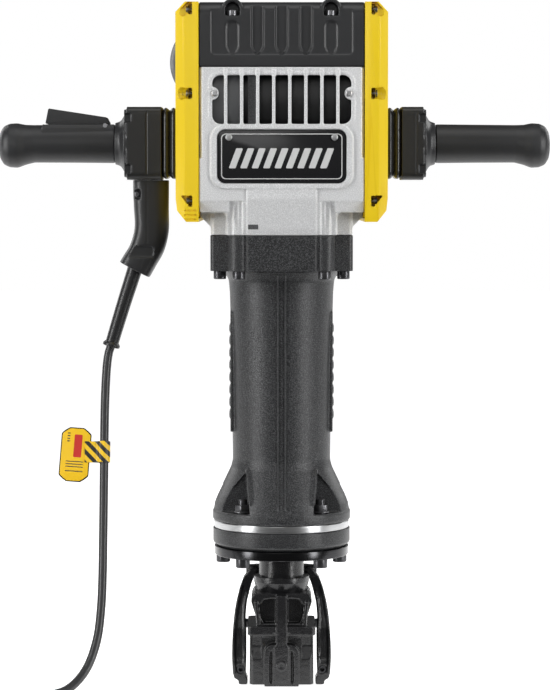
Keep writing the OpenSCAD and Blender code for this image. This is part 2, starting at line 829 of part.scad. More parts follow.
module cable_guard() {
  color("#28292b") difference() {
    along_y(-21, 21) guard_2d(0);
    along_y(-17.5, 17.5) intersection() {
      guard_2d(3.5);
      translate([-200, 480]) square([90, 93]);
    }
    // The cord's sleeve comes out here.
    translate([-169.7, 0, 465.8]) rotate([0, 17.5, 0]) zrod(8.6, -10, 40);
    translate([-155, 0, 560]) zrod(6, 0, 25);
    for (s = [-1, 1]) translate([-163, s * 21, 560.5]) cube([8, 7, 11], center = true);
    for (s = [-1, 1]) translate([-156, s * 21, 494]) rotate([0, 20, 0]) cube([26, 5, 12], center = true);
  }
}

module strain_relief() {
  color("#1c1d1f") translate([-169.7, 0, 465.8]) rotate([0, 17.5, 0]) difference() {
    union() {
      zrod(8.6, -80, 34);
      zrod(12, 17, 24);
      zrod(10.2, -82, -78);
    }
    zrod(5.1, 4, 50);
  }
}

// ---- cord ----

module power_cord() {
  color("#1a1a1b") sweep(curve(route, 3), cord_d / 2, 10, [1, 0.001, 0.3]);
}

module cord_coil() {
  color("#1a1a1b") {
    translate([coil_at[0], coil_at[1], 1]) rotate_extrude($fn = 96) translate([60, 20.5]) rrect(30, 41, 4.9);
    translate([-475.5, 0, 17]) yrod(cord_d / 2, -35, 2);
  }
}

module coil_tie() {
  color("#4a4a4c") translate([coil_at[0], coil_at[1], 0]) rotate([0, 0, 60]) along_y(-9, 9) difference() {
    translate([60, 21.5]) rrect(32.4, 43, 5.5);
    translate([60, 21.5]) rrect(30.2, 41.2, 4.9);
  }
}

module mains_plug() {
  color("#1d1d1f") translate([-475.5, 0, 17]) {
    yrod(7, 2, 26);
    difference() {
      along_y(24, 62) rrect(36, 34, 12);
      for (s = [-1, 1]) translate([s * 24, 50, 0]) rotate([0, 0, s * 12]) cube([16, 60, 16], center = true);
    }
    for (s = [-1, 1]) translate([s * 9.5, 0, 0]) yrod(2.4, 60, 80);
  }
}

module cord_tag() {
  color("#f0c000") translate([-201, -20.1, 268.7]) rotate([-13, 0, 0]) {
    difference() {
      union() {
        zrod(7.4, -12, 12);
        translate([-20, -2.6, -12]) cube([20, 5.2, 24]);
      }
      zrod(5.6, -20, 20);
    }
    translate([-33, 0, -3]) rotate([0, 4, 0]) along_y(-1, 1) rrect(34, 62, 7);
  }
}

nose();
neck_ring();
hex_bush();
latch_pivot();
retainer_latch();
latch_cross_pins();
clamp_plate();
lower_flange();
damper_ring();
flange_bolts();
flange_nuts();
barrel();
translate([0, 0, 475]) gearbox_collar();
collar_screws();
motor_housing();
top_cover();
side_cover_left();
side_cover_right();
case_screws();
nameplate();
front_screws();
air_shroud();
side_cap();
gear_carrier();
bearings();
stator();
brush_holders();
rotor();
fan();
commutator();
intermediate_gear();
crank_gear();
crankshaft();
con_rod();
wrist_pin();
piston();
cylinder_part();  // cylinder
ram();
beat_piece();
handle_mounts();
bellows_left();
bellows_right();
handle_left();
handle_right();
grip_left();
grip_right();
guide_rods_left();
guide_rods_right();
float_springs_left();
float_springs_right();
trigger();
trigger_pin();
switch_body();
cable_guard();
strain_relief();
power_cord();
cord_coil();
coil_tie();
mains_plug();
cord_tag();
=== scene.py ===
# %% [markdown]
# This lesson builds the looks of a heavy demolition hammer: a tall electric breaker with two side
# handles. The mechanical model is already made and comes in as a frame of rigid bodies. Here every
# visible piece gets its edges, fillets, surface grain and finish, and all but the cord and the bellows
# ride on the body they belong to.

# %% Load the frame
import math

import bmesh
import bpy
from mathutils import Matrix, Vector


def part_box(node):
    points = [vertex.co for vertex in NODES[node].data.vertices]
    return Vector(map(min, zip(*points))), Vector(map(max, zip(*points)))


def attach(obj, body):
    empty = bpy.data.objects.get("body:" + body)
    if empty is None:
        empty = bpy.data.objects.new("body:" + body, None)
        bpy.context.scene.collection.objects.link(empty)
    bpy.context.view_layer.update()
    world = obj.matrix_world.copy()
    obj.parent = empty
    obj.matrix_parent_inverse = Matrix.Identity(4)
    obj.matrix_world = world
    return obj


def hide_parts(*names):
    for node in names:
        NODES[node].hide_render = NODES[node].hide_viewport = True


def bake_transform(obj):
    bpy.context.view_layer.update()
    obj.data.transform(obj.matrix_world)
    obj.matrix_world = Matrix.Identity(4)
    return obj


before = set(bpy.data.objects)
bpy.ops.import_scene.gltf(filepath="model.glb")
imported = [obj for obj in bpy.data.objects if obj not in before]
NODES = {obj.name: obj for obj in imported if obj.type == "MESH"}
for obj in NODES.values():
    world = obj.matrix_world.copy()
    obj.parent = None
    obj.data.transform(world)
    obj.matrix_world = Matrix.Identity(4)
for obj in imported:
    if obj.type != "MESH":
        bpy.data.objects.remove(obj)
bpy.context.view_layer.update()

# %% [markdown]
# Machine drawings are in millimetres, and Blender works in metres. The helpers below take millimetres, so
# the numbers read like a drawing, and turn them to metres once, at the mesh. The handles' axis is the one
# height that many pieces share, so it is named here.

# %% Sizes taken from the frame
MM = 0.001
GRIP_Z = 617.6
HOUSE_LO, HOUSE_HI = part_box("motor_housing")
print("housing", [round(v / MM, 1) for v in (*HOUSE_LO, *HOUSE_HI)])

# %% [markdown]
# Most castings and mouldings start as an outline pushed along an axis, or turned round one.
# Writing the mesh by hand gives clean faces, which a bevel can then follow.
# Corners are rounded in the outline itself, where the radius is exact.

# %% Outlines


def rounded(points, radius, steps=5):
    """A closed outline with its corners turned into arcs; radius is one number or one for each corner."""
    out, n = [], len(points)
    radii = radius if isinstance(radius, (list, tuple)) else [radius] * n
    for i in range(n):
        p, a, b = Vector(points[i]), Vector(points[i - 1]), Vector(points[(i + 1) % n])
        u, v = (a - p), (b - p)
        r = radii[i]
        if r <= 0 or u.length < 1e-9 or v.length < 1e-9:
            out.append(tuple(p))
            continue
        angle = u.angle(v)
        if angle > math.radians(176):
            out.append(tuple(p))
            continue
        reach = min(r / math.tan(angle / 2), u.length * 0.49, v.length * 0.49)
        r = reach * math.tan(angle / 2)
        u.normalize()
        v.normalize()
        start, end = p + u * reach, p + v * reach
        centre = p + (u + v).normalized() * (r / math.sin(angle / 2))
        s, e = start - centre, end - centre
        for k in range(steps + 1):
            t = k / steps
            d = s.lerp(e, t)
            d = d.normalized() * r if d.length > 1e-9 else d
            out.append(tuple(centre + d))
    return out


def box_outline(w, h, r, cx=0.0, cy=0.0, steps=6):
    """A rectangle with round corners, in millimetres."""
    x, y = w / 2, h / 2
    return rounded([(cx - x, cy - y), (cx + x, cy - y), (cx + x, cy + y), (cx - x, cy + y)], r, steps)


def disc_outline(r, cx=0.0, cy=0.0, n=48):
    """A circle of n corners."""
    return [(cx + r * math.cos(2 * math.pi * k / n), cy + r * math.sin(2 * math.pi * k / n))
            for k in range(n)]


print("a rounded square has", len(box_outline(10, 10, 2)), "points")

# %% [markdown]
# An outline becomes a solid in two ways. Pushed along an axis it is a prism, as a sheet or a block is;
# turned round an axis it is a lathe part. Both write their points and faces out, so nothing has to be
# selected by hand.

# %% Meshes from outlines
AXIS_MAP = {"x": lambda a, b, t: (t, a, b), "y": lambda a, b, t: (a, t, b), "z": lambda a, b, t: (a, b, t)}


def new_piece(name, verts, faces):
    """A new object from points in millimetres, with its normals turned outward."""
    mesh = bpy.data.meshes.new(name)
    mesh.from_pydata([(x * MM, y * MM, z * MM) for x, y, z in verts], [], faces)
    bm = bmesh.new()
    bm.from_mesh(mesh)
    bmesh.ops.remove_doubles(bm, verts=bm.verts, dist=1e-6)
    bmesh.ops.recalc_face_normals(bm, faces=bm.faces)
    bm.to_mesh(mesh)
    bm.free()
    obj = bpy.data.objects.new(name, mesh)
    bpy.context.scene.collection.objects.link(obj)
    return obj


def prism(name, outline, lo, hi, axis="z"):
    """Pushes an outline along an axis, from lo to hi."""
    place, n = AXIS_MAP[axis], len(outline)
    verts = [place(a, b, lo) for a, b in outline] + [place(a, b, hi) for a, b in outline]
    faces = [list(range(n)), list(range(n, 2 * n))]
    faces += [[k, (k + 1) % n, n + (k + 1) % n, n + k] for k in range(n)]
    return new_piece(name, verts, faces)


def lathe(name, profile, segments=160, axis="z", at=(0, 0, 0)):
    """Turns a closed (radius, height) outline round an axis."""
    verts, faces, n = [], [], len(profile)
    for s in range(segments):
        a = 2 * math.pi * s / segments
        c, d = math.cos(a), math.sin(a)
        for r, h in profile:
            p = {"z": (r * c, r * d, h), "x": (h, r * c, r * d), "y": (r * c, h, r * d)}[axis]
            verts.append((p[0] + at[0], p[1] + at[1], p[2] + at[2]))
    for s in range(segments):
        t = (s + 1) % segments
        for k in range(n):
            j = (k + 1) % n
            if profile[k][0] < 1e-6 and profile[j][0] < 1e-6:
                continue
            faces.append([s * n + k, s * n + j, t * n + j, t * n + k])
    return new_piece(name, verts, faces)


# %% [markdown]
# Solids are then worked on as in a shop: cut, joined, their edges broken, or cast. Each helper leaves a
# plain mesh behind, with no modifier waiting, because the next tool reads the mesh itself.


# %% Working on solids
def settle(obj):
    """Applies an object's modifiers to its mesh."""
    graph = bpy.context.evaluated_depsgraph_get()
    graph.update()
    mesh = bpy.data.meshes.new_from_object(obj.evaluated_get(graph))
    obj.modifiers.clear()
    old, obj.data = obj.data, mesh
    bpy.data.meshes.remove(old)
    return obj


def soften(obj, angle=32):
    """Smooth shading, sharp only where faces meet at more than the angle."""
    obj.data.shade_smooth()
    obj.data.set_sharp_from_angle(angle=math.radians(angle))
    return obj


def bevel(obj, width, segments=2, angle=30):
    """Breaks the sharp edges, as a mould or a file would."""
    m = obj.modifiers.new("bevel", "BEVEL")
    m.width, m.segments, m.limit_method = width * MM, segments, "ANGLE"
    m.angle_limit = math.radians(angle)
    m.harden_normals = False
    m.use_clamp_overlap = True
    settle(obj)
    return soften(obj, 40)


def carve(obj, cutters, how="DIFFERENCE"):
    """Cuts, joins or intersects solids, one after another."""
    for c in cutters:
        m = obj.modifiers.new("cut", "BOOLEAN")
        m.operation, m.solver, m.object = how, "EXACT", c
    settle(obj)
    for c in cutters:
        mesh = c.data
        bpy.data.objects.remove(c)
        bpy.data.meshes.remove(mesh)
    return obj


def join(name, objs):
    """Makes one object of several, keeping them as separate shells."""
    bm = bmesh.new()
    for o in objs:
        o.data.transform(o.matrix_world)
        bm.from_mesh(o.data)
    mesh = bpy.data.meshes.new(name)
    bm.to_mesh(mesh)
    bm.free()
    for o in objs:
        old = o.data
        bpy.data.objects.remove(o)
        bpy.data.meshes.remove(old)
    out = bpy.data.objects.new(name, mesh)
    bpy.context.scene.collection.objects.link(out)
    return soften(out, 40)


def cast(obj, voxel, rounds=4, keep=0.45):
    """Gives a solid the soft corners of a casting: remesh, relax the surface, then thin out the flat parts."""
    m = obj.modifiers.new("skin", "REMESH")
    m.mode, m.voxel_size = "VOXEL", voxel * MM
    s = obj.modifiers.new("relax", "SMOOTH")
    s.factor, s.iterations = 0.5, rounds
    if keep < 1:
        obj.modifiers.new("thin", "DECIMATE").ratio = keep
    settle(obj)
    obj.data.shade_smooth()
    return obj


def finish_piece(obj, material, body, *stands_for):
    """Gives a piece its finish, puts it on its body, and hides the CAD nodes it stands for."""
    obj.data.materials.clear()
    obj.data.materials.append(material)
    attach(obj, body)
    if stands_for:
        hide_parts(*stands_for)
    print(obj.name, len(obj.data.polygons), "faces on", body)
    return obj


# %% [markdown]
# Finishes are node materials. To keep them readable, a number that varies over the surface is wrapped in
# a small class, so 1 - mask or mask * 0.3 adds the Math nodes that it needs. Colours are mixed with Mix
# nodes. Everything is procedural, in the object's own coordinates, so it bakes and never needs an image.

# %% Shader helpers


class Value:
    """A number that varies over a surface. Arithmetic on it adds Math nodes."""

    def __init__(self, finish, socket):
        self.finish, self.socket = finish, socket

    def maths(self, operation, a, b, clamp=False):
        return self.finish.node("ShaderNodeMath", {"operation": operation, "use_clamp": clamp}, [a, b])

    def __add__(self, other):
        return self.maths("ADD", self, other)

    __radd__ = __add__

    def __sub__(self, other):
        return self.maths("SUBTRACT", self, other)

    def __rsub__(self, other):
        return self.maths("SUBTRACT", other, self)

    def __mul__(self, other):
        return self.maths("MULTIPLY", self, other)

    __rmul__ = __mul__

    def __truediv__(self, other):
        return self.maths("DIVIDE", self, other)

    def __gt__(self, other):
        return self.maths("GREATER_THAN", self, other)

    def fraction(self):
        return self.finish.node("ShaderNodeMath", {"operation": "FRACT"}, [self])


class Finish:
    """One material, built node by node."""

    def __init__(self, name, **fixed):
        self.material = bpy.data.materials.new(name)
        self.material.use_nodes = True
        self.tree = self.material.node_tree
        self.tree.nodes.clear()
        self.out = self.tree.nodes.new("ShaderNodeOutputMaterial")
        self.shader = self.tree.nodes.new("ShaderNodeBsdfPrincipled")
        self.tree.links.new(self.shader.outputs[0], self.out.inputs[0])
        for socket, value in fixed.items():
            self.shader.inputs[socket.replace("_", " ")].default_value = value
        self.place = self.node("ShaderNodeTexCoord", {}, [], "Object")

    def node(self, kind, settings, inputs, output=0):
        """Adds any node: its settings first, then the values or links of its sockets."""
        n = self.tree.nodes.new(kind)
        for key, value in settings.items():
            if key == "stops":
                ramp = n.color_ramp
                while len(ramp.elements) > len(value):
                    ramp.elements.remove(ramp.elements[-1])
                while len(ramp.elements) < len(value):
                    ramp.elements.new(0.5)
                for element, (at, tone) in zip(ramp.elements, value):
                    element.position = at
                    element.color = (tone, tone, tone, 1) if isinstance(tone, (int, float)) else (*tone, 1)
            else:
                setattr(n, key, value)
        pairs = inputs.items() if isinstance(inputs, dict) else enumerate(inputs)
        for key, value in pairs:
            if isinstance(value, Value):
                self.tree.links.new(value.socket, n.inputs[key])
            else:
                n.inputs[key].default_value = value
        return Value(self, n.outputs[output])

    def noise(self, scale, detail=2.0, rough=0.5, place=None):
        return self.node("ShaderNodeTexNoise", {}, {"Vector": place or self.place, "Scale": scale,
                                                    "Detail": detail,
                                                    "Roughness": rough})

    def stretched(self, x, y, z):
        """Coordinates scaled by axis, for brushed or drawn grain."""
        return self.node("ShaderNodeVectorMath", {"operation": "MULTIPLY"}, [self.place, (x, y, z)])

    def ramp(self, value, stops):
        return self.node("ShaderNodeValToRGB", {"stops": stops}, {"Fac": value})

    def mix(self, factor, a, b):
        """Mixes two colours."""
        n = self.tree.nodes.new("ShaderNodeMix")
        n.data_type = "RGBA"
        for key, value in ((0, factor), (6, a), (7, b)):
            if isinstance(value, Value):
                self.tree.links.new(value.socket, n.inputs[key])
            else:
                n.inputs[key].default_value = value if key == 0 else (*value, 1)
        return Value(self, n.outputs[2])

    def edges(self, low=0.53, high=0.6):
        """1 on outer edges, from how sharply the mesh turns there."""
        point = self.node("ShaderNodeNewGeometry", {}, [], "Pointiness")
        return self.ramp(point, [(low, 0.0), (high, 1.0)])

    def colour(self, value):
        self.tree.links.new(value.socket, self.shader.inputs["Base Color"])
        return self

    def rough(self, value):
        self.tree.links.new(value.socket, self.shader.inputs["Roughness"])
        return self

    def bump(self, height, strength, distance):
        n = self.tree.nodes.new("ShaderNodeBump")
        n.inputs["Strength"].default_value = strength
        n.inputs["Distance"].default_value = distance
        self.tree.links.new(height.socket, n.inputs["Height"])
        self.tree.links.new(n.outputs[0], self.shader.inputs["Normal"])
        return self


# %% [markdown]
# The barrel, flange and collar are light-alloy castings under a charcoal powder coat.
# Powder coat has a fine orange-peel grain with lighter specks, and it rubs a little lighter along edges.


# %% Powder coat
def powder_coat(name, dark, light, rough=0.46, metallic=0.0, grain=0.00012):
    f = Finish(name, IOR=1.45)
    f.shader.inputs["Metallic"].default_value = metallic
    peel = f.noise(520, 2, 0.6)
    speck = f.noise(950, 2, 0.65)
    cloud = f.noise(14, 3)
    flecks = f.ramp(speck, [(0.46, 0.0), (0.64, 1.0)])
    base = f.mix(cloud, dark, [c * 0.86 for c in dark])
    base = f.mix(flecks * 0.75, base, light)
    base = f.mix(f.edges() * 0.35, base, [min(1, c * 1.5 + 0.02) for c in light])
    f.colour(base)
    f.rough(rough - 0.08 + cloud * 0.06 + speck * 0.16)
    f.bump(peel * 0.5 + speck * 0.5, 0.6, grain)
    return f.material


CHARCOAL = powder_coat("charcoal_powder_coat", (0.016, 0.0165, 0.0175), (0.11, 0.112, 0.116), 0.38, 0.15,
                       0.0005)
SILVER = powder_coat("silver_coat", (0.66, 0.665, 0.67), (0.88, 0.885, 0.89), 0.4, 0.1, 0.0005)
FLANGE = powder_coat("flange_coat", (0.016, 0.0165, 0.0175), (0.09, 0.092, 0.095), 0.36, 0.15, 0.0004)
print("powder coats made")

# %% [markdown]
# The tool holder is forged and cast steel under glossy black paint, so its skin is coarse and catches
# sparks of light.


# %% Rough black casting, bright and dark steel
def rough_casting():
    f = Finish("rough_black_casting")
    coarse = f.noise(190, 4, 0.62)
    fine = f.noise(900, 2)
    cloud = f.noise(30, 3)
    base = f.mix(cloud, (0.006, 0.006, 0.0065), (0.016, 0.016, 0.017))
    f.colour(f.mix(f.edges(0.53, 0.64) * 0.6, base, (0.16, 0.16, 0.165)))
    f.rough(0.12 + coarse * 0.2)
    f.bump(coarse * 0.75 + fine * 0.25, 0.5, 0.001)
    return f.material


def steel(name, dark, light, rough, stretch=(1, 1, 40), metallic=1.0, wear=0.3):
    """Turned or drawn steel: streaks run across the stretched axis."""
    f = Finish(name)
    f.shader.inputs["Metallic"].default_value = metallic
    streak = f.noise(60, 3, 0.6, f.stretched(*stretch))
    stain = f.noise(35, 3)
    base = f.mix(streak, dark, light)
    base = f.mix(f.edges() * wear, base, [min(1, c * 1.6 + 0.05) for c in light])
    f.colour(base)
    f.rough(rough - 0.05 + streak * 0.1 + stain * 0.05)
    f.bump(streak, 0.12, 0.0002)
    return f.material


BLACK_CASTING = rough_casting()
BRIGHT_RING = steel("turned_bright_steel", (0.36, 0.365, 0.37), (0.66, 0.665, 0.67), 0.27)
DARK_PLATE = steel("polished_dark_steel", (0.02, 0.02, 0.021), (0.07, 0.07, 0.073), 0.17)
BLACK_BOLT = steel("black_oxide_steel", (0.035, 0.035, 0.038), (0.09, 0.09, 0.095), 0.3, (1, 1, 8), 0.85,
                   0.5)
SCREW_STEEL = steel("zinc_screw_steel", (0.5, 0.5, 0.5), (0.72, 0.72, 0.73), 0.28, (1, 1, 6))
DARK_SCREW = steel("dark_screw_steel", (0.1, 0.1, 0.105), (0.2, 0.2, 0.21), 0.32, (1, 1, 6), 0.9, 0.5)
TOOL_STEEL = steel("ground_tool_steel", (0.26, 0.26, 0.27), (0.42, 0.42, 0.43), 0.26, (1, 1, 25))
GEAR_STEEL = steel("gear_steel", (0.3, 0.3, 0.31), (0.48, 0.48, 0.49), 0.3, (25, 1, 1))
COPPER = steel("copper", (0.55, 0.25, 0.12), (0.75, 0.4, 0.22), 0.35, (20, 1, 1))
print("steels made")


# %% [markdown]
# The covers, handles and guard are moulded plastic. A mould gives it a very fine leather-like texture;
# yellow covers are glossier, handles are satin, and rubber is the dullest of all.


# %% Plastics and rubbers
def moulded(name, base_a, base_b, rough, grain, scale=900, coat=0.0, scuff=0.15):
    f = Finish(name, Coat_Weight=coat, Coat_Roughness=0.25)
    texture = f.noise(scale, 3, 0.6)
    cloud = f.noise(22, 3)
    fine = f.noise(scale * 2.3, 1)
    base = f.mix(cloud, base_a, base_b)
    base = f.mix(f.edges() * scuff, base, [min(1, c * 1.4 + 0.03) for c in base_b])
    f.colour(base)
    f.rough(rough - 0.05 + cloud * 0.05 + fine * 0.06)
    f.bump(texture, 0.25, grain)
    return f.material


YELLOW = moulded("yellow_plastic", (0.82, 0.565, 0.003), (0.78, 0.53, 0.002), 0.34, 0.00012, 700, 0.1, 0.2)
CAP_PLASTIC = moulded("cap_plastic", (0.014, 0.0145, 0.0155), (0.020, 0.0205, 0.022), 0.4, 0.00025)
BLACK_PLASTIC = moulded("handle_plastic", (0.012, 0.0125, 0.0135), (0.018, 0.0185, 0.0195), 0.4, 0.00025)
GRIP_RUBBER = moulded("grip_rubber", (0.016, 0.0165, 0.0175), (0.022, 0.0225, 0.024), 0.46, 0.0003, 1100)
SEAL_RUBBER = moulded("seal_rubber", (0.009, 0.009, 0.0095), (0.014, 0.014, 0.0148), 0.36, 0.00025)
CORD_RUBBER = moulded("cord_rubber", (0.018, 0.018, 0.019), (0.026, 0.026, 0.027), 0.33, 0.00008)
GLOSS_BLACK = moulded("plate_black", (0.008, 0.008, 0.009), (0.012, 0.012, 0.013), 0.22, 0.00003)
SHROUD = moulded("shroud_plastic", (0.06, 0.062, 0.066), (0.075, 0.077, 0.08), 0.5, 0.0001)
STATOR = moulded("stator_lacquer", (0.2, 0.09, 0.04), (0.3, 0.15, 0.07), 0.45, 0.0002)
RAW_ALLOY = powder_coat("raw_alloy", (0.42, 0.43, 0.44), (0.55, 0.56, 0.57), 0.45, 0.7)
TAG_RED = moulded("tag_red", (0.55, 0.02, 0.01), (0.48, 0.015, 0.008), 0.4, 0.00003)
TAG_YELLOW = moulded("tag_yellow", (0.88, 0.55, 0.01), (0.82, 0.5, 0.01), 0.4, 0.00003)


def striped():
    """Slanted black and yellow bands, as on a safety strap."""
    f = Finish("striped_strap", Roughness=0.4)
    split = f.node("ShaderNodeSeparateXYZ", {}, [f.place], "X")
    up = f.node("ShaderNodeSeparateXYZ", {}, [f.place], "Z")
    band = ((split + up) / 0.0125).fraction() > 0.5
    grain = f.noise(900, 2)
    f.colour(f.mix(band, (0.86, 0.54, 0.01), (0.012, 0.012, 0.013)))
    f.rough(0.36 + grain * 0.12)
    f.bump(grain, 0.2, 0.00005)
    return f.material


STRIPED = striped()
print("plastics made")

# %% [markdown]
# Some parts keep the shape that the mechanical model gives them, mostly gears, pistons and springs
# inside. They still need a finish, so a table names one for each, and anything it leaves out gets the
# charcoal coat.

# %% Finishes for the CAD nodes that stay as they are
INSIDE = {
    "hex_bush": TOOL_STEEL, "latch_pivot": BLACK_BOLT, "latch_cross_pins": BLACK_BOLT, "air_shroud": SHROUD,
    "gear_carrier": CHARCOAL, "fan": RAW_ALLOY, "bearings": TOOL_STEEL, "stator": STATOR,
    "brush_holders": COPPER, "commutator": COPPER, "rotor": GEAR_STEEL, "intermediate_gear": GEAR_STEEL,
    "crank_gear": GEAR_STEEL, "crankshaft": GEAR_STEEL, "con_rod": GEAR_STEEL, "wrist_pin": TOOL_STEEL,
    "piston": TOOL_STEEL, "cylinder": TOOL_STEEL, "ram": TOOL_STEEL, "beat_piece": TOOL_STEEL,
    "handle_mounts": CHARCOAL, "guide_rods_left": TOOL_STEEL, "guide_rods_right": TOOL_STEEL,
    "float_springs_left": TOOL_STEEL, "float_springs_right": TOOL_STEEL, "trigger_pin": TOOL_STEEL,
    "switch_body": BLACK_PLASTIC, "motor_housing": SILVER, "barrel": CHARCOAL,
}
for name, node in NODES.items():
    node.data.materials.clear()
    node.data.materials.append(INSIDE.get(name, CHARCOAL))
print(len(INSIDE), "nodes finished")

# %% [markdown]
# The camera stands in front, a little over half way up, with a long lens, so the tall body stays upright.
# It tilts down a little, by the number of degrees given here.

# %% Camera
CAMERA_AT, CAMERA_TILT, CAMERA_LENS = (-0.0074, -3.07, 0.565), 3.28, 140.9
camera_data = bpy.data.cameras.new("camera")
camera = bpy.data.objects.new("camera", camera_data)
bpy.context.scene.collection.objects.link(camera)
bpy.context.scene.camera = camera
camera_data.sensor_width = 36
camera_data.lens = CAMERA_LENS
camera.location = CAMERA_AT
camera.rotation_euler = (math.radians(90 - CAMERA_TILT), 0, 0)
camera_data.clip_start, camera_data.clip_end = 0.05, 60
print("camera", tuple(round(c, 3) for c in camera.location))

# %% [markdown]
# The mains cord hangs from its sleeve, drifts forward as it falls, and lands in front of the machine.
# It runs left along the ground to a neat coil of nine turns held by a tie, and ends in its plug.
# The line of points is the same as the mechanical model's, so the cord lies where its solid lies.

# %% Cord route
CORD_D = 10.0
ROUTE = [(-194.5, 0, 387), (-197, -0.3, 379), (-199, -3, 362), (-200.5, -8, 330), (-201, -15, 292),
         (-201, -24, 252), (-201, -34, 212), (-201, -45, 172), (-201, -57, 134), (-202, -70, 98),
         (-206, -84, 64), (-217, -97, 34), (-236, -107, 14), (-260, -110, 7), (-290, -110, 6),
         (-325, -110, 6), (-378, -110, 6)]
COIL_AT = (-405.0, -40.0)
LANES = [(70, 6), (60, 6), (50, 6), (50, 16), (50, 26), (50, 36), (60, 36), (70, 36), (70, 26), (70, 16)]


def smooth_line(points, step=6.0):
    """A smooth line through the points, with even spacing."""
    fine, n = [], len(points)
    pts = [Vector(p) for p in points]
    for i in range(n - 1):
        a, b, c, d = pts[max(i - 1, 0)], pts[i], pts[i + 1], pts[min(i + 2, n - 1)]
        for k in range(20):
            t = k / 20
            fine.append(0.5 * ((2 * b) + (c - a) * t + (2 * a - 5 * b + 4 * c - d) * t * t
                               + (3 * b - a - 3 * c + d) * t ** 3))
    fine.append(pts[-1])
    length = sum((fine[i + 1] - fine[i]).length for i in range(len(fine) - 1))
    count = max(2, round(length / step))
    out, i, gone = [fine[0]], 0, 0.0
    for k in range(1, count):
        want = length * k / count
        while gone + (fine[i + 1] - fine[i]).length < want:
            gone += (fine[i + 1] - fine[i]).length
            i += 1
        out.append(fine[i].lerp(fine[i + 1], (want - gone) / (fine[i + 1] - fine[i]).length))
    out.append(fine[-1])
    return out


def coil_line():
    """Nine turns and a quarter, clockwise from above; each turn steps to the next lane of the bundle."""
    out = []
    for turn, (r, z) in enumerate(LANES):
        nxt = LANES[min(turn + 1, len(LANES) - 1)]
        last = turn == len(LANES) - 1
        for k in range(18 if last else 72):
            t = k / 72
            w = max(0.0, (t - 0.86) / 0.14)
            w = w * w * (3 - 2 * w)
            radius, height = r + (nxt[0] - r) * w, z + (nxt[1] - z) * w
            a = math.radians(-90 - 360 * t)
            out.append(Vector((COIL_AT[0] + radius * math.cos(a), COIL_AT[1] + radius * math.sin(a),
                               height)))
    out += [Vector((-475.3, -34, 16.2)), Vector((-475.4, -20, 16.6)), Vector((-475.5, -8, 17)),
            Vector((-475.5, 6, 17))]
    return out


def line_length(points):
    return sum((points[i + 1] - points[i]).length for i in range(len(points) - 1))


CORD_LINE = smooth_line([*ROUTE[:-1], *coil_line()], 6.0)
print("cord length", round(line_length(CORD_LINE)), "mm in", len(CORD_LINE), "points")


# %% [markdown]
# A cord is a tube along that line. At each point a ring of corners stands square to the line, and the
# ring's direction is carried on from the last one, so the tube never twists.


# %% Tube along a line
def tube(name, line, radius, sides=16, up=(1, 0.001, 0.3)):
    """A tube along a line; radius is one number, or one for each point."""
    radii = radius if isinstance(radius, list) else [radius] * len(line)
    verts, faces, n = [], [], len(line)
    u = None
    for i, p in enumerate(line):
        d = (line[min(i + 1, n - 1)] - line[max(i - 1, 0)]).normalized()
        u = d.cross(Vector(up)).normalized() if u is None else (u - d * u.dot(d)).normalized()
        v = d.cross(u)
        for k in range(sides):
            a = 2 * math.pi * k / sides
            verts.append(tuple(p + (u * math.cos(a) + v * math.sin(a)) * radii[i]))
    for i in range(n - 1):
        for k in range(sides):
            j = (k + 1) % sides
            faces.append([i * sides + k, (i + 1) * sides + k, (i + 1) * sides + j, i * sides + j])
    faces += [list(range(sides)), [n * sides - 1 - k for k in range(sides)]]
    return soften(new_piece(name, verts, faces), 50)


power_cord = tube("mains_cord", CORD_LINE, CORD_D / 2, 14)
power_cord.data.materials.append(CORD_RUBBER)
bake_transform(power_cord)
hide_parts("power_cord", "cord_coil")
print("cord", len(power_cord.data.polygons), "faces")

# %% [markdown]
# On the cord hang a tag with a striped strap and, at its far end, the plug. The tie is a soft band round
# the turns.


# %% Plug, tie and tag
def plug():
    body = prism("plug_body", box_outline(36, 34, 12), 24, 62, "y")
    body = bevel(body, 3.0, 3)
    collar = lathe("plug_collar", rounded([(0, 2), (6, 2), (7, 8), (8.5, 26), (0, 26)], [0, 1, 1, 1, 0]),
                   40, "y")
    rings = [lathe("ring", [(5.4, y), (7.6, y + 0.4), (7.6, y + 2), (5.4, y + 2.4)], 40,
                   "y") for y in (7, 12, 17)]
    grips = [bevel(prism("grip", box_outline(2.2, 18, 1.0, s * 17.6, 0), 30 + k * 6, 32.5 + k * 6, "y"),
                   0.4, 1)
             for s in (-1, 1) for k in range(4)]
    body = join("mains_plug_body", [body, collar, *rings, *grips])
    pins = join("mains_plug_pins", [lathe("pin", rounded([(0, 60), (2.4, 60), (2.4, 80), (0, 80)],
                                                         [0, 0, 1, 0]), 32,
                                          "y", (s * 9.5, 0, 0)) for s in (-1, 1)])
    for o in (body, pins):
        o.data.transform(Matrix.Translation((-0.4755, 0, 0.017)))
    return body, pins


plug_body, plug_pins = plug()
finish_piece(plug_body, BLACK_PLASTIC, "machine", "mains_plug")
finish_piece(plug_pins, SCREW_STEEL, "machine")

tie_out = box_outline(32.2, 42.8, 5.4, 60, 21.5)
tie_in = box_outline(30.4, 41.2, 4.9, 60, 21.5)
coil_tie = carve(prism("coil_tie_band", tie_out, -8, 8, "y"), [prism("tie_hole", tie_in, -12, 12, "y")])
coil_tie = bevel(coil_tie, 0.4, 2)
coil_tie.data.transform(Matrix.Translation((COIL_AT[0] * MM, COIL_AT[1] * MM,
                                            0)) @ Matrix.Rotation(math.radians(60), 4, "Z"))
finish_piece(coil_tie, SEAL_RUBBER, "machine", "coil_tie")


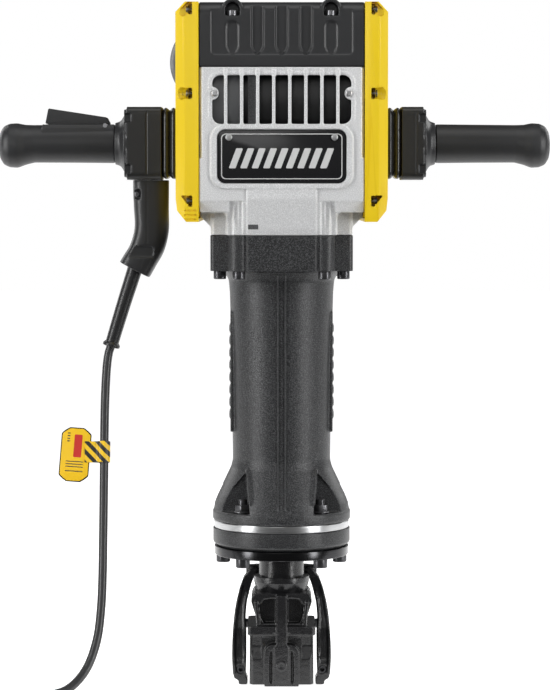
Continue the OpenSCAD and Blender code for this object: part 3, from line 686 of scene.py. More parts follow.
def tag_pieces():
    """A flat tag with bulging ends, its darker rim, a red panel, and the strap that goes round the cord."""
    outline = [(-17, -24), (-12.5, -28), (-8, -31), (8, -31), (12.5, -28), (17, -24), (17, 24), (12.5, 28),
               (8, 31),
               (-8, 31), (-12.5, 28), (-17, 24)]
    shape = rounded(outline, 4, 5)
    rim = bevel(prism("rim", shape, -0.8, 0.8, "y"), 0.3, 2)
    face = bevel(prism("face", [(x * 0.93, z * 0.96) for x, z in shape], -1.15, -0.7, "y"), 0.2, 2)
    panel = bevel(prism("panel", box_outline(9, 26, 1.2, 2.5, 10), -1.35, -1.0, "y"), 0.12, 1)
    bars = [bevel(prism("bar", box_outline(w, 1.3, 0.4, -8.5, z), -1.3, -1.0, "y"), 0.1, 1)
            for w, z in ((3, 24), (3, 21), (3, 18), (3, 15))]
    bars += [bevel(prism("bar", box_outline(20, 1.0, 0.4, 0, z), -1.3, -1.0, "y"), 0.1,
                   1) for z in (-8, -11, -14, -19)]
    loop = [(-22, -2.2), (-8, -2.4), (-5, -6.2), (0, -7.4), (5.2, -5.2), (7.4, 0), (5.2, 5.2), (0, 7.4),
            (-5, 6.2),
            (-8, 2.4), (-22, 2.2)]
    loop = rounded(loop, [0, 4, 4, 5, 5, 5, 5, 5, 4, 4, 0], 4)
    hole = rounded([(-9, -0.7), (-4, -4.4), (0, -5.6), (4, -4), (5.6, 0), (4, 4), (0, 5.6), (-4, 4.4),
                    (-9, 0.7)],
                   [0, 3, 4, 4, 4, 4, 4, 3, 0], 4)
    strap = carve(prism("strap", loop, -12, 12, "z"), [prism("strap_hole", hole, -20, 20, "z")])
    strap = bevel(strap, 0.4, 1)
    lean = Matrix.Translation((-0.201, -0.0201, 0.2687)) @ Matrix.Rotation(math.radians(-13), 4, "X")
    hang = lean @ Matrix.Translation((-0.033, 0, -0.003)) @ Matrix.Rotation(math.radians(4), 4, "Y")
    strap.data.transform(lean)
    for o in (rim, face, panel, *bars):
        o.data.transform(hang)
    strap.name = "tag_strap"
    rim.name, face.name, panel.name = "tag_rim", "tag_face", "tag_panel"
    return rim, face, panel, join("tag_bars", bars), strap


tag_rim, tag_face, tag_panel, tag_bars, tag_strap = tag_pieces()
finish_piece(tag_rim, GLOSS_BLACK, "machine", "cord_tag")
finish_piece(tag_face, TAG_YELLOW, "machine")
finish_piece(tag_panel, TAG_RED, "machine")
finish_piece(tag_bars, GLOSS_BLACK, "machine")
finish_piece(tag_strap, STRIPED, "machine")
round(line_length(CORD_LINE) * MM, 3)
[tuple(p * MM) for p in CORD_LINE]

# %% [markdown]
# The barrel is one casting: a bolted foot, a flared cone with pockets for the nuts, and a slightly
# tapered tube. Turning the outline gives the body; the pockets are cut, ribs are joined on, and a fine
# remesh rounds every corner, as metal flows round the corners of a mould.

# %% Barrel
BARREL_SIDE = [(40, 190.6), (77, 190.6), (78.4, 192), (78.4, 201), (77.2, 203), (76.2, 210), (72.8, 219),
               (57.5, 251),
               (55.5, 259), (56.8, 380), (58.8, 450), (60, 464), (66.5, 474.8), (40, 474.8)]
BARREL_FILLET = [0, 1, 1.5, 1.5, 2, 12, 14, 22, 22, 200, 60, 14, 0, 0]


def barrel_radius(z):
    """Outer radius of the barrel at a height."""
    side = BARREL_SIDE[1:-1]
    for (r0, z0), (r1, z1) in zip(side, side[1:]):
        if z0 <= z <= z1 and z1 > z0:
            return r0 + (r1 - r0) * (z - z0) / (z1 - z0)
    return side[-1][0]


def front_band(name, sign):
    """Two fine ridges with a groove between, which follow the barrel's line from foot to collar."""
    section = [(-6, -4), (-5.6, -0.2), (-4.9, 0.6), (-4.4, 1.5), (-3.4, 1.5), (-2.9, -0.2), (2.9, -0.2),
               (3.4, 1.5),
               (4.4, 1.5), (4.9, 0.6), (5.6, -0.2), (6, -4)]
    verts, faces, levels = [], [], [208, 211, 214, 218, 224, 232, 240, 248, 254, 260, 270, 300, 350, 400,
                                    440, 452, 464, 470]
    for z in levels:
        r = barrel_radius(z)
        for x, up in section:
            verts.append((x, sign * (math.sqrt(r * r - x * x) + up), z))
    n = len(section)
    for i in range(len(levels) - 1):
        for k in range(n):
            j = (k + 1) % n
            faces.append([i * n + k, i * n + j, (i + 1) * n + j, (i + 1) * n + k])
    faces += [list(range(n)), [len(verts) - 1 - k for k in range(n)]]
    return new_piece(name, verts, faces)


def nut_pocket(sx, sy):
    """The three-cornered pocket over a flange bolt."""
    outline = rounded([(35.8, 202.6), (39.4, 248.5), (66.8, 216), (67.4, 202.6)], [1.5, 1, 3, 1.5])
    return prism("pocket", [(sx * x, z) for x, z in outline], *sorted((sy * 95, sy * 38)), "y")


barrel = lathe("barrel_casting", rounded(BARREL_SIDE, BARREL_FILLET, 6), 200)
bands = soften(join("barrel_bands", [front_band("band", -1), front_band("band", 1)]), 35)
finish_piece(bands, CHARCOAL, "machine")
extras = []
for s in (-1, 1):
    extras.append(prism("pad", box_outline(36, 138, 4, 0, 360), *sorted((s * 50, s * 58.0)), "x"))
    for i in range(8):
        extras.append(prism("rib", box_outline(30, 8.4, 3.4, 0, 311 + i * 14), *sorted((s * 50, s * 59.3)),
                            "x"))
    for y in (-1, 1):
        fin = [(y * 30, 213), (y * 67.5, 213), (y * 66, 219), (y * 50, 246), (y * 45, 251), (y * 30, 251)]
        extras.append(prism("fin", rounded(fin, [0, 0, 1, 3, 0, 0]), *sorted((s * 31.6, s * 40.4)), "x"))
carve(barrel, extras, "UNION")
cuts = [nut_pocket(sx, sy) for sx in (-1, 1) for sy in (-1, 1)]
cuts += [prism("side_pocket", disc_outline(10, s * 66.5, 0), 204, 230, "z") for s in (-1, 1)]
carve(barrel, cuts)
cast(barrel, 0.95, 1, 0.25)
finish_piece(barrel, CHARCOAL, "machine", "barrel")

# %% [markdown]
# Under the barrel come a machined ring, a coated flange and a dark plate. Each is turned on a lathe, so
# each is a turned outline here, with the small chamfers that a turned edge gets.

# %% Flanges
ring = lathe("damper_ring_turned", rounded([(40, 182.2), (76.6, 182.2), (76.9, 183.2), (76.9, 189.4),
                                            (76.6, 190.3),
                                            (40, 190.3)], [0, 0.5, 0.3, 0.3, 0.5, 0]), 220)
finish_piece(soften(ring), BRIGHT_RING, "machine", "damper_ring")
flange = lathe("lower_flange_turned", rounded([(40, 161.2), (73, 161.2), (78, 165.5), (78, 181.8),
                                               (40, 181.8)],
                                              [0, 3.5, 3.5, 0.8, 0], 7), 220)
finish_piece(soften(flange), FLANGE, "machine", "lower_flange")
plate = lathe("clamp_plate_turned", rounded([(26.5, 151.1), (76.4, 151.1), (76.4, 161), (26.5, 161)],
                                            [0, 0.8, 0.5, 0]), 220)
finish_piece(soften(plate), DARK_PLATE, "machine", "clamp_plate")


# %% [markdown]
# Six long socket screws clamp the foot, with hexagon nuts in the pockets, and eight more hold the collar.
# One function turns a screw standing upright; another tips it over and sets it in its place.


# %% Screws
def socket_head(r, h, shank_r, shank_l):
    """A socket screw standing on z = 0, head up."""
    profile = [(0, h - 0.55 * h), (r * 0.5, h - 0.55 * h), (r * 0.5, h), (r, h), (r, 0), (shank_r, 0),
               (shank_r, -shank_l), (0, -shank_l)]
    return lathe("screw", rounded(profile, [0, 0, 0.3, h * 0.12, 0.3, 0, 0.5, 0], 3), 28)


def placed(obj, at, direction=(0, 0, 1)):
    """Turns an upright screw to point along a direction and sets it down, in millimetres."""
    turn = Vector((0, 0, 1)).rotation_difference(Vector(direction)).to_matrix().to_4x4()
    obj.data.transform(Matrix.Translation(Vector(at) * MM) @ turn)
    return obj


BOLT_ANGLES = (0, 49, 131, 180, 229, 311)
BOLT_SPOTS = [(66.5 * math.cos(math.radians(a)), 66.5 * math.sin(math.radians(a))) for a in BOLT_ANGLES]
bolts = join("flange_bolts_set", [placed(socket_head(8, 10, 4.9, 67.5), (x, y, 151), (0, 0, -1)) for x,
                                  y in BOLT_SPOTS])
finish_piece(bolts, BLACK_BOLT, "machine", "flange_bolts")
nuts = []
for x, y in BOLT_SPOTS:
    hexagon = [(x + 9.2 * math.cos(math.radians(60 * k + 20)),
                y + 9.2 * math.sin(math.radians(60 * k + 20)))
               for k in range(6)]
    nuts.append(bevel(prism("nut", hexagon, 204.2, 212.5, "z"), 0.9, 2))
    nuts.append(lathe("washer", [(5, 203.9), (10, 203.9), (10, 205.2), (5, 205.2)], 36, "z", (x, y, 0)))
nuts = join("flange_nuts_set", nuts)
finish_piece(nuts, BLACK_BOLT, "machine", "flange_nuts")
COLLAR_SPOTS = [(sx * x, sy * y) for x, y in ((47.5, 76), (69, 55)) for sx in (-1, 1) for sy in (-1, 1)]
collar_screws = join("collar_screws_set", [placed(socket_head(7, 9, 3.9, 40), (x, y, 475), (0, 0, -1))
                                           for x, y in COLLAR_SPOTS])
finish_piece(collar_screws, BLACK_BOLT, "machine", "collar_screws")
print("screws placed")

# %% [markdown]
# The nose holds the chisel's hexagonal shank. It is a rough steel casting: a square foot, a waist with
# deep recesses either side of a rib, and a neck. Rough solids are joined and cut, and a remesh gives the
# cast skin.

# %% Nose
def nose_piece():
    """Foot block, arch and centre plate below a ledge; waist, rib and neck above it."""
    body = prism("nose_casting", box_outline(72.6, 60, 6), 4.2, 64, "z")
    waist = rounded([(-34, 60), (34, 60), (34, 66), (28.5, 73), (29.5, 84), (34.5, 100), (33.5, 105),
                     (30, 109),
                     (-30, 109), (-33.5, 105), (-34.5, 100), (-29.5, 84), (-28.5, 73), (-34, 66)], 4, 4)
    adds = [prism("waist", waist, -34, 34, "y"), prism("ledge", box_outline(77, 83, 5), 62.5, 72.5, "z"),
            lathe("neck", rounded([(0, 100), (25.6, 100), (25.6, 150.8), (0, 150.8)], [0, 0, 2, 0]), 96)]
    arch = rounded([(-19.5, 4.2), (19.5, 4.2), (19.5, 51.5), (-19.5, 51.5)], [1, 1, 10, 10], 8)
    plate = rounded([(-8.2, 9.5), (8.2, 9.5), (8.2, 48), (5.8, 54), (5.8, 108), (-5.8, 108), (-5.8, 54),
                     (-8.2, 48)], 2)
    for sy in (-1, 1):
        adds.append(prism("arch", arch, *sorted((sy * 28, sy * 41.5)), "y"))
        adds.append(prism("plate", plate, *sorted((sy * 28, sy * 43.4)), "y"))
        adds.append(lathe("ring", [(3.6, sy * 43), (3.6, sy * 44.2), (5.2, sy * 44.2), (5.2, sy * 43)], 40,
                          "y", (0, 0, 28)))
        for sx in (-1, 1):
            rib = rounded([(sx * 24.5, 70), (sx * 27.5, 70), (sx * 30.5, 100), (sx * 27, 100)], 1)
            adds.append(prism("side_rib", rib, *sorted((sy * 36.5, sy * 28)), "y"))
    carve(body, adds, "UNION")
    cuts = [lathe("bore", [(0, -5), (20.05, -5), (20.05, 146), (0, 146)], 96),
            lathe("pin_hole", [(0, -60), (5.4, -60), (5.4, 60), (0, 60)], 48, "x", (0, 26, 66))]
    for sy in (-1, 1):
        for sx in (-1, 1):
            recess = rounded([(sx * 6.4, 75), (sx * 20, 75), (sx * 23.6, 82), (sx * 25, 96), (sx * 20, 103),
                              (sx * 6.4, 104)], 3)
            cuts.append(prism("recess", recess, *sorted((sy * 50, sy * 27)), "y"))
            groove = rounded([(sx * 10.6, 8), (sx * 13.6, 8), (sx * 13.6, 38), (sx * 12.6, 44),
                              (sx * 10.6, 46)], 1)
            cuts.append(prism("groove", groove, *sorted((sy * 50, sy * 37.5)), "y"))
            bay = [(sy * 50, 61.5), (sy * 27, 61.5), (sy * 26, 48), (sy * 30, 33), (sy * 32.5, 12),
                   (sy * 50, 9)]
            cuts.append(prism("bay", rounded(bay, [0, 3, 8, 10, 3, 0]), *sorted((sx * 22.5, sx * 34.2)),
                              "x"))
            cuts.append(prism("ledge_nick", rounded([(sx * 7.4, 61), (sx * 11.5, 61), (sx * 7.4, 66.5)],
                                                    0.8),
                              *sorted((sy * 50, sy * 34)), "y"))
    for sx in (-1, 1):
        cuts.append(prism("end_pocket", box_outline(40, 26, 6, 0, 86), *sorted((sx * 26.5, sx * 50)), "x"))
    carve(body, cuts)
    return cast(body, 0.75, 1, 0.3)


nose = nose_piece()
finish_piece(nose, BLACK_CASTING, "machine", "nose")
neck_ring = lathe("neck_ring_turned", rounded([(26.0, 108.4), (28.3, 108.4), (31.5, 119.5), (31.5, 125.8),
                                               (26.0, 125.8)],
                                              [0, 0.8, 1.2, 0.8, 0]), 128)
finish_piece(soften(neck_ring), BLACK_CASTING, "machine", "neck_ring")

# %% [markdown]
# The retaining latch is a cast yoke: two bowed arms that hang beside the nose, joined behind the neck by
# a loop. Each arm's front outline is crossed with its side outline, as a sculptor saws a block from two
# faces, and a round bead runs up both front edges, because that is where a casting like this catches the
# light.


# %% Latch
ARM_FRONT = [(38.7, 1.2), (49, 1.2), (49, 6), (54, 9), (55.6, 15), (56.5, 30), (56.5, 47), (55.6, 63),
             (54.2, 78), (51.8, 92),
             (48, 107), (43.7, 118), (33, 131), (27, 128), (34, 113), (37, 103), (39.8, 92), (41.3, 74),
             (40.4, 60),
             (40.2, 30), (40.8, 12), (38.7, 8)]
ARM_SIDE = [(-13.8, 0.2), (9.8, 0.2), (16, 20), (24, 40), (36, 54), (37.8, 66), (36, 78), (38, 100),
            (49.8, 118),
            (49.8, 133.8), (34, 133.8), (33, 118), (22, 98), (14, 78), (8, 62), (-4, 46), (-13.8, 30)]


def latch_piece():
    arms = []
    for s in (-1, 1):
        front = [(s * x, z) for x, z in rounded(ARM_FRONT, 2.2, 4)]
        arm = prism("arm", front, -16, 54, "y")
        arm = carve(arm, [prism("side", rounded(ARM_SIDE, 4, 4), *sorted((s * 20, s * 60)), "x")],
                    "INTERSECT")
        face = [(s * x, z) for x, z in rounded([(42.8, 26), (52.2, 26), (52.3, 47), (51.2, 62), (48.9, 76),
                                                (45.2, 92),
                                                (42.5, 92), (43.2, 70), (42.6, 50)], 2, 4)]
        dish = prism("dish", face, -20, -12.6, "y")
        arm = carve(arm, [dish, lathe("pin_hole", [(0, -30), (4.45, -30), (4.45, 30), (0, 30)], 40, "y",
                                      (s * 46.5, 0, 19))])
        for inset, edge in ((1.9, [(14, 55.4), (30, 56.5), (46, 56.5), (62, 55.7), (78, 54.2), (92, 51.8),
                                   (108, 47.7)]),
                            (-1.7, [(26, 40.4), (40, 40.3), (60, 40.4), (74, 41.3), (92, 39.8),
                                    (103, 37)])):
            path = []
            for z, x in edge:
                side = [(30, -13.8), (46, -4), (62, 8), (78, 14), (98, 22), (118, 33)]
                y = -13.8
                for (z0, y0), (z1, y1) in zip(side, side[1:]):
                    if z0 <= z <= z1:
                        y = y0 + (y1 - y0) * (z - z0) / (z1 - z0)
                path.append((s * (x - inset), y + 0.5, z))
            bead = tube("rim", smooth_line([Vector(p) for p in path], 3), 2.0, 12)
            carve(arm, [bead], "UNION")
        arms.append(arm)
    loop = prism("latch_casting", rounded([(-41, 36), (-30, 36), (-22, 36.5), (22, 36.5), (30, 36),
                                           (41, 36), (41, 44),
                                           (28, 51.8), (-28, 51.8), (-41, 44)],
                                           [4, 3, 3, 3, 3, 4, 6, 8, 8, 6]), 118.2, 131.8)
    carve(loop, arms, "UNION")
    for s in (-1, 1):
        carve(loop, [lathe("pivot_hole", [(0, s * 30), (5.3, s * 30), (5.3, s * 62), (0, s * 62)], 40, "x",
                           (0, 26, 66))])
    return cast(loop, 0.85, 2, 0.5)


latch = latch_piece()
finish_piece(latch, BLACK_CASTING, "latch", "retainer_latch")
pins = []
for s in (-1, 1):
    pins.append(lathe("cross_pin", rounded([(2.6, -14.1), (3.7, -14.1), (4.4, -13.2), (4.4, 13.9),
                                            (0, 13.9), (0, -4),
                                            (2.3, -4)], [0.3, 0.4, 0.4, 0.7, 0, 0, 0]), 48, "y",
                                            (s * 46.5, 0, 19)))
cross_pins = join("latch_pins_turned", pins)
finish_piece(cross_pins, BLACK_BOLT, "latch", "latch_cross_pins")

# %% [markdown]
# The collar is the machined flange of the gearbox. Its outline is a round body with square ears and screw
# lugs, so the outline itself is drawn and pushed upward, and its vertical edges catch the light as fine
# bright lines.


# %% Collar
def collar_solid(name, lo, hi, grow=0.0):
    body = prism(name, disc_outline(72 + grow, n=120), lo, hi)
    adds = [prism("ear", box_outline(159 + 2 * grow, 108 + 2 * grow, 4), lo, hi),
            prism("front", box_outline(86 + 2 * grow, 172 + 2 * grow, 2.5), lo, hi),
            prism("rib", box_outline(76 + 2 * grow, 178 + 2 * grow, 1.5), lo, hi)]
    adds += [prism("lug", disc_outline(11.5 + grow, sx * 47.5, sy * 76, 48), lo, hi)
             for sx in (-1, 1) for sy in (-1, 1)]
    adds += [prism("lug", rounded([(sx * 50, sy * 40), (sx * (79.4 + grow), sy * 40),
                                   (sx * (79.4 + grow), sy * (65.6 + grow)),
                                   (sx * 50, sy * (71 + grow))], [0, 0, 5, 0], 6), lo, hi)
             for sx in (-1, 1) for sy in (-1, 1)]
    return carve(body, adds, "UNION")


collar = collar_solid("collar_casting", 475.2, 514.8)
carve(collar, [prism("through", disc_outline(40, n=96), 470, 520)])
cast(collar, 0.7, 1, 0.3)
finish_piece(collar, CHARCOAL, "machine", "gearbox_collar")

# %% [markdown]
# The motor housing is a die casting in light alloy. A box with a collar-shaped foot is cast hollow, then
# its front gets a raised frame for the nameplate, a boss below it and a barred window above. The same is
# done at the back. All of it is solid modelling first, and one fine remesh at the end gives every edge
# its cast radius.


# %% Motor housing
GRILLE_Z = 664.3
BAR_X = (-61.5, -44, -26.4, -8.8, 8.8, 26.4, 44, 61.5)


def both_faces(name, outline, y0, y1):
    """The same solid on the front and on the back."""
    return [prism(name, outline, -y1, -y0, "y"), prism(name, outline, y0, y1, "y")]


def housing_piece():
    shell = prism("housing_casting", box_outline(182, 200, 6), 553, 699.8, "z")
    foot = collar_solid("foot", 515.2, 566, -0.6)
    side = prism("side_step", rounded([(-79, 515.2), (79, 515.2), (79, 524), (90.9, 536), (90.9, 600),
                                       (-90.9, 600),
                                       (-90.9, 536), (-79, 524)], [0, 0, 4, 4, 0, 0, 4, 4], 5), -54, 54,
                                       "y")
    adds = [foot, side]
    for sx in (-1, 1):
        for sy in (-1, 1):
            # the corner block over each lug, with its lower edge well rounded
            block = rounded([(sy * 50, 541), (sy * 90, 541), (sy * 99.9, 552), (sy * 99.9, 600),
                             (sy * 50, 600)],
                            [0, 5, 8, 0, 0], 6)
            adds.append(prism("corner_block", block, *sorted((sx * 58.5, sx * 90.9)), "x"))
            slope = rounded([(sy * 50, 515.2), (sy * 87, 515.2), (sy * 88.5, 534), (sy * 99.9, 562),
                             (sy * 99.9, 600),
                             (sy * 50, 600)], [0, 0, 10, 14, 0, 0], 6)
            adds.append(prism("slope", slope, *sorted((sx * 30, sx * 47.5)), "x"))
            # the lug's column leans back into the wall above it
            column = rounded([(sy * 50, 515.2), (sy * 86.8, 515.2), (sy * 87.8, 537), (sy * 98.9, 561),
                              (sy * 98.9, 580),
                              (sy * 50, 580)], [0, 0, 14, 10, 0, 0], 6)
            adds.append(prism("column", column, *sorted((sx * 42, sx * 53.5)), "x"))
            cheek = rounded([(sy * 50, 515.2), (sy * 82.6, 515.2), (sy * 84.5, 536), (sy * 96, 556),
                             (sy * 96, 580),
                             (sy * 50, 580)], [0, 0, 14, 10, 0, 0], 6)
            adds.append(prism("cheek", cheek, *sorted((sx * 50, sx * 61)), "x"))
            arch = rounded([(sx * 61, 515.2), (sx * 61, 537), (sx * 71, 548), (sx * 50, 552),
                            (sx * 50, 515.2)],
                           [0, 9, 0, 0, 0], 6)
            adds.append(prism("gusset", arch, *sorted((sy * 50, sy * 84)), "y"))
    boss = rounded([(-89, 515.2), (-93, 522), (-102.4, 555), (-102.4, 572), (-60, 572), (-60, 515.2)],
                   [0, 10, 12, 0, 0, 0], 6)
    for sy in (1, -1):
        adds.append(prism("boss", [(-sy * y, z) for y, z in boss], -38, 38, "x"))
        wing = rounded([(-87.4, 515.2), (-91.4, 522), (-100.4, 553), (-60, 557), (-60, 515.2)],
                       [0, 10, 3, 0, 0], 6)
        adds.append(prism("boss_wing", [(-sy * y, z) for y, z in wing], -43, 43, "x"))
    adds += both_faces("bezel", box_outline(155.4, 70.2, 16, 0, 601.9, 8), 90, 102.9)
    adds += both_faces("grille_frame", box_outline(160, 60.5, 12, 0, GRILLE_Z, 8), 90, 100.9)
    carve(shell, adds, "UNION")
    inner = prism("inner", box_outline(172, 190, 4), 560, 720, "z")
    cuts = [inner, prism("lower_inner", disc_outline(62, n=80), 510, 570)]
    cuts += both_faces("bezel_floor", box_outline(142.8, 59.8, 9.3, 0, 601.9, 6), 100, 120)
    cuts += both_faces("window", box_outline(152.6, 53.4, 9, 0, GRILLE_Z, 6), 80, 120)
    carve(shell, cuts)
    ribs = []
    for x in BAR_X:
        ribs += both_faces("bar", box_outline(3.6, 61, 1.7, x, 667.2), 93, 103.4)
    for sx in (-1, 1):
        ribs += both_faces("screw_post", disc_outline(7, sx * 76, 671, 40), 93, 100.4)
        for sy in (-1, 1):
            ribs.append(prism("wall_pad", box_outline(10, 60, 3, 0, 0), *sorted((sx * 88, sx * 90.95)),
                              "x"))
            ribs[-1].data.transform(Matrix.Translation((0, sy * 0.07, 0.63)))
    carve(shell, ribs, "UNION")
    return cast(shell, 0.85, 1, 0.2)


housing = housing_piece()
finish_piece(housing, SILVER, "machine", "motor_housing")

# %% [markdown]
# Behind the bars a dark moulded air guide bends round the motor. It is a curved wall with raised bands,
# seen only through the windows, front and back. One end stands nearer and is painted paler: its lighter
# colour is a painted reflection, the light band that the windows on the left show.


# %% Air guides behind the grille
def air_guide(name, sy, x0, x1, lift):
    """A bowed wall: nearest at mid height, curling away above and below."""
    section = []
    for k in range(17):
        t = -1 + k / 8
        section.append((sy * (84.5 + lift - 5.5 * t * t), GRILLE_Z + 31 * t))
    section += [(sy * (y * sy - 3), z) for y, z in reversed(section)]
    return soften(prism(name, section, x0, x1, "x"), 50)


guides = []
for sy in (-1, 1):
    guides.append(air_guide("guide", sy, -44, 61, 0))
    for x in (-35.2, -17.6, 0, 17.6, 35.2, 52.8):
        guides.append(air_guide("band", sy, x - 3.2, x + 5.0, 1.5))
    guides.append(air_guide("step", sy, 60, 79, 3))
guides = join("air_guides", guides)
finish_piece(guides, SEAL_RUBBER, "machine")
# The lighter colour of this end is a painted reflection of a light band, not a different plastic.
painted_reflection_guides = join("painted_reflection_air_guides", [air_guide("pale", sy, -79, -43.5, 4.5) for sy in (-1, 1)])
PAINTED_REFLECTION_GUIDE = moulded("painted_reflection_guide", (0.15, 0.153, 0.157), (0.18, 0.182, 0.186), 0.35, 0.0001)
finish_piece(painted_reflection_guides, PAINTED_REFLECTION_GUIDE, "machine")

# %% [markdown]
# The nameplate is a thin glossy plate with a fine raised rim. In place of any name it carries a plain row
# of slanted bars. Two screws with pale heads sit above them.


# %% Nameplate
def nameplate_pieces():
    plate = bevel(prism("nameplate_plate", box_outline(141.6, 58.6, 8.8, 0, 602), -101.5, -100.1, "y"),
                  0.35, 2)
    rim = carve(prism("rim", box_outline(133, 50, 5, 0, 602), -101.95, -101.3, "y"),
                [prism("rim_hole", box_outline(131, 48, 4.4, 0, 602), -103, -100, "y")])
    bars = [bevel(rim, 0.12, 1)]
    for k in range(9):
        x = -50 + k * 12.5
        lean = 4.2
        outline = rounded([(x - 4 - lean, 589), (x + 3.4 - lean, 589), (x + 3.4 + lean, 611),
                           (x - 4 + lean, 611)], 0.9, 3)
        bars.append(bevel(prism("bar", outline, -102.1, -101.3, "y"), 0.2, 1))
    return plate, join("nameplate_bars", bars)


PALE_MARK = moulded("pale_mark", (0.62, 0.62, 0.61), (0.55, 0.55, 0.55), 0.35, 0.00003)
plate, bars = nameplate_pieces()
finish_piece(plate, GLOSS_BLACK, "machine", "nameplate")
finish_piece(bars, PALE_MARK, "machine")


def pan_screw(r, h, shank):
    """A rounded screw head with a star-shaped socket, on a plain shank, pointing up."""
    head = lathe("head", rounded([(0, h), (r * 0.8, h), (r, h * 0.35), (r, 0), (shank, 0), (shank, -6.5),
                                  (0, -6.5)],
                                 [0, r * 0.4, 0.2, 0, 0, 0.3, 0], 4), 40)
    star = []
    for k in range(12):
        rr = r * (0.52 if k % 2 == 0 else 0.36)
        star.append((rr * math.cos(math.pi * k / 6), rr * math.sin(math.pi * k / 6)))
    return carve(head, [prism("star", rounded(star, 0.3, 2), h * 0.35, h + 2)])


plate_screws = [placed(pan_screw(3.8, 2.2, 1.9), (s * 58, -101.6, 623), (0, -1, 0)) for s in (-1, 1)]
finish_piece(join("plate_screws_set", plate_screws), SCREW_STEEL, "machine")
front = [placed(pan_screw(4, 2.6, 1.9), (s * 73.5, q * 100.4, 671),
                (0, q, 0)) for s in (-1, 1) for q in (-1, 1)]
finish_piece(join("front_screws_set", front), SCREW_STEEL, "machine", "front_screws")

# %% [markdown]
# The cap is a moulded cover that curves over the motor. Its front has a shallow panel with flutes,
# pressed in like finger grooves, and two arched pockets where long screws hold it down.


# %% Cap
def cap_side(g=0.0):
    """The cap's section, front to back: straight walls with a large round edge above."""
    return rounded([(-100 + g, 700.2), (-100 + g, 771.4 - g), (100 - g, 771.4 - g), (100 - g, 700.2)],
                   [0, 15, 15, 0], 10)


def flute(x, z, w, h, y0, y1):
    """A groove with a round top and a pointed lower end."""
    r = w / 2
    outline = [(x + r * math.cos(a),
                z + h / 2 - r + r * math.sin(a)) for a in [math.pi * k / 14 for k in range(15)]]
    outline += [(x - r, z - h / 2 + r * 1.35), (x - r * 0.55, z - h / 2 + r * 0.4), (x, z - h / 2),
                (x + r * 0.55, z - h / 2 + r * 0.4), (x + r, z - h / 2 + r * 1.35)]
    return prism("flute", outline, y0, y1, "y")


def cap_piece():
    body = prism("cap_cover", cap_side(), -90.7, 90.7, "x")
    adds = []
    for sx in (-1, 1):
        for sy in (-1, 1):
            hood = [(sx * 54 + 11.6 * math.cos(a), 763.2 + 11.6 * math.sin(a)) for a in
                    [math.pi * k / 20 for k in range(21)]] + [(sx * 54 - 11.6, 752), (sx * 54 + 11.6, 752)]
            adds.append(prism("hood", hood, *sorted((sy * 99.6, sy * 82)), "y"))
    carve(body, adds, "UNION")
    cuts = [prism("hollow", cap_side(9), -86, 86, "x")]
    for sy in (-1, 1):
        near = lambda a, b: sorted((sy * a, sy * b))
        cuts.append(prism("panel", box_outline(156, 62, 5, 0, 744), *near(98.6, 110), "y"))
        for x in (-26.6, 0, 26.6):
            cuts.append(flute(x, 741.5, 13.6, 57, *near(95.4, 110)))
        for sx in (-1, 1):
            cuts.append(flute(sx * 54, 731.5, 13.6, 37, *near(97, 110)))
    carve(body, cuts)
    posts = [prism("post", disc_outline(7.5, sx * 54, sy * 87.6, 40), 704,
                   757) for sx in (-1, 1) for sy in (-1, 1)]
    top = prism("keep", cap_side(0.4), -90, 90, "x")
    posts = [carve(p, [top_copy(top)], "INTERSECT") for p in posts]
    mesh = top.data
    bpy.data.objects.remove(top)
    bpy.data.meshes.remove(mesh)
    carve(body, posts, "UNION")
    pockets = []
    for sx in (-1, 1):
        for sy in (-1, 1):
            arch = [(sx * 54 + 8 * math.cos(a), 762.9 + 8 * math.sin(a)) for a in
                    [math.pi * k / 16 for k in range(17)]] + [(sx * 54 - 8, 756), (sx * 54 + 8, 756)]
            pockets.append(prism("pocket", arch, *sorted((sy * 87.6, sy * 112)), "y"))
            pockets.append(prism("screw_way", disc_outline(2.8, sx * 54, sy * 93.5, 24), 695, 760))
    carve(body, pockets)
    return cast(body, 0.95, 3, 0.3)


def top_copy(obj):
    twin = bpy.data.objects.new("twin", obj.data.copy())
    bpy.context.scene.collection.objects.link(twin)
    return twin


cap = cap_piece()
finish_piece(cap, CAP_PLASTIC, "machine", "top_cover")

# %% [markdown]
# Each yellow cover closes one side of the motor. It is a shallow tray with bevelled edges. Screw pockets
# are sunk into the bevelled corner, and the one at the top opens along the bevel, so it reads as a
# slanted notch.


# %% Side covers
COVER_HOLES = ((93, 553), (93, 671), (91, 763))


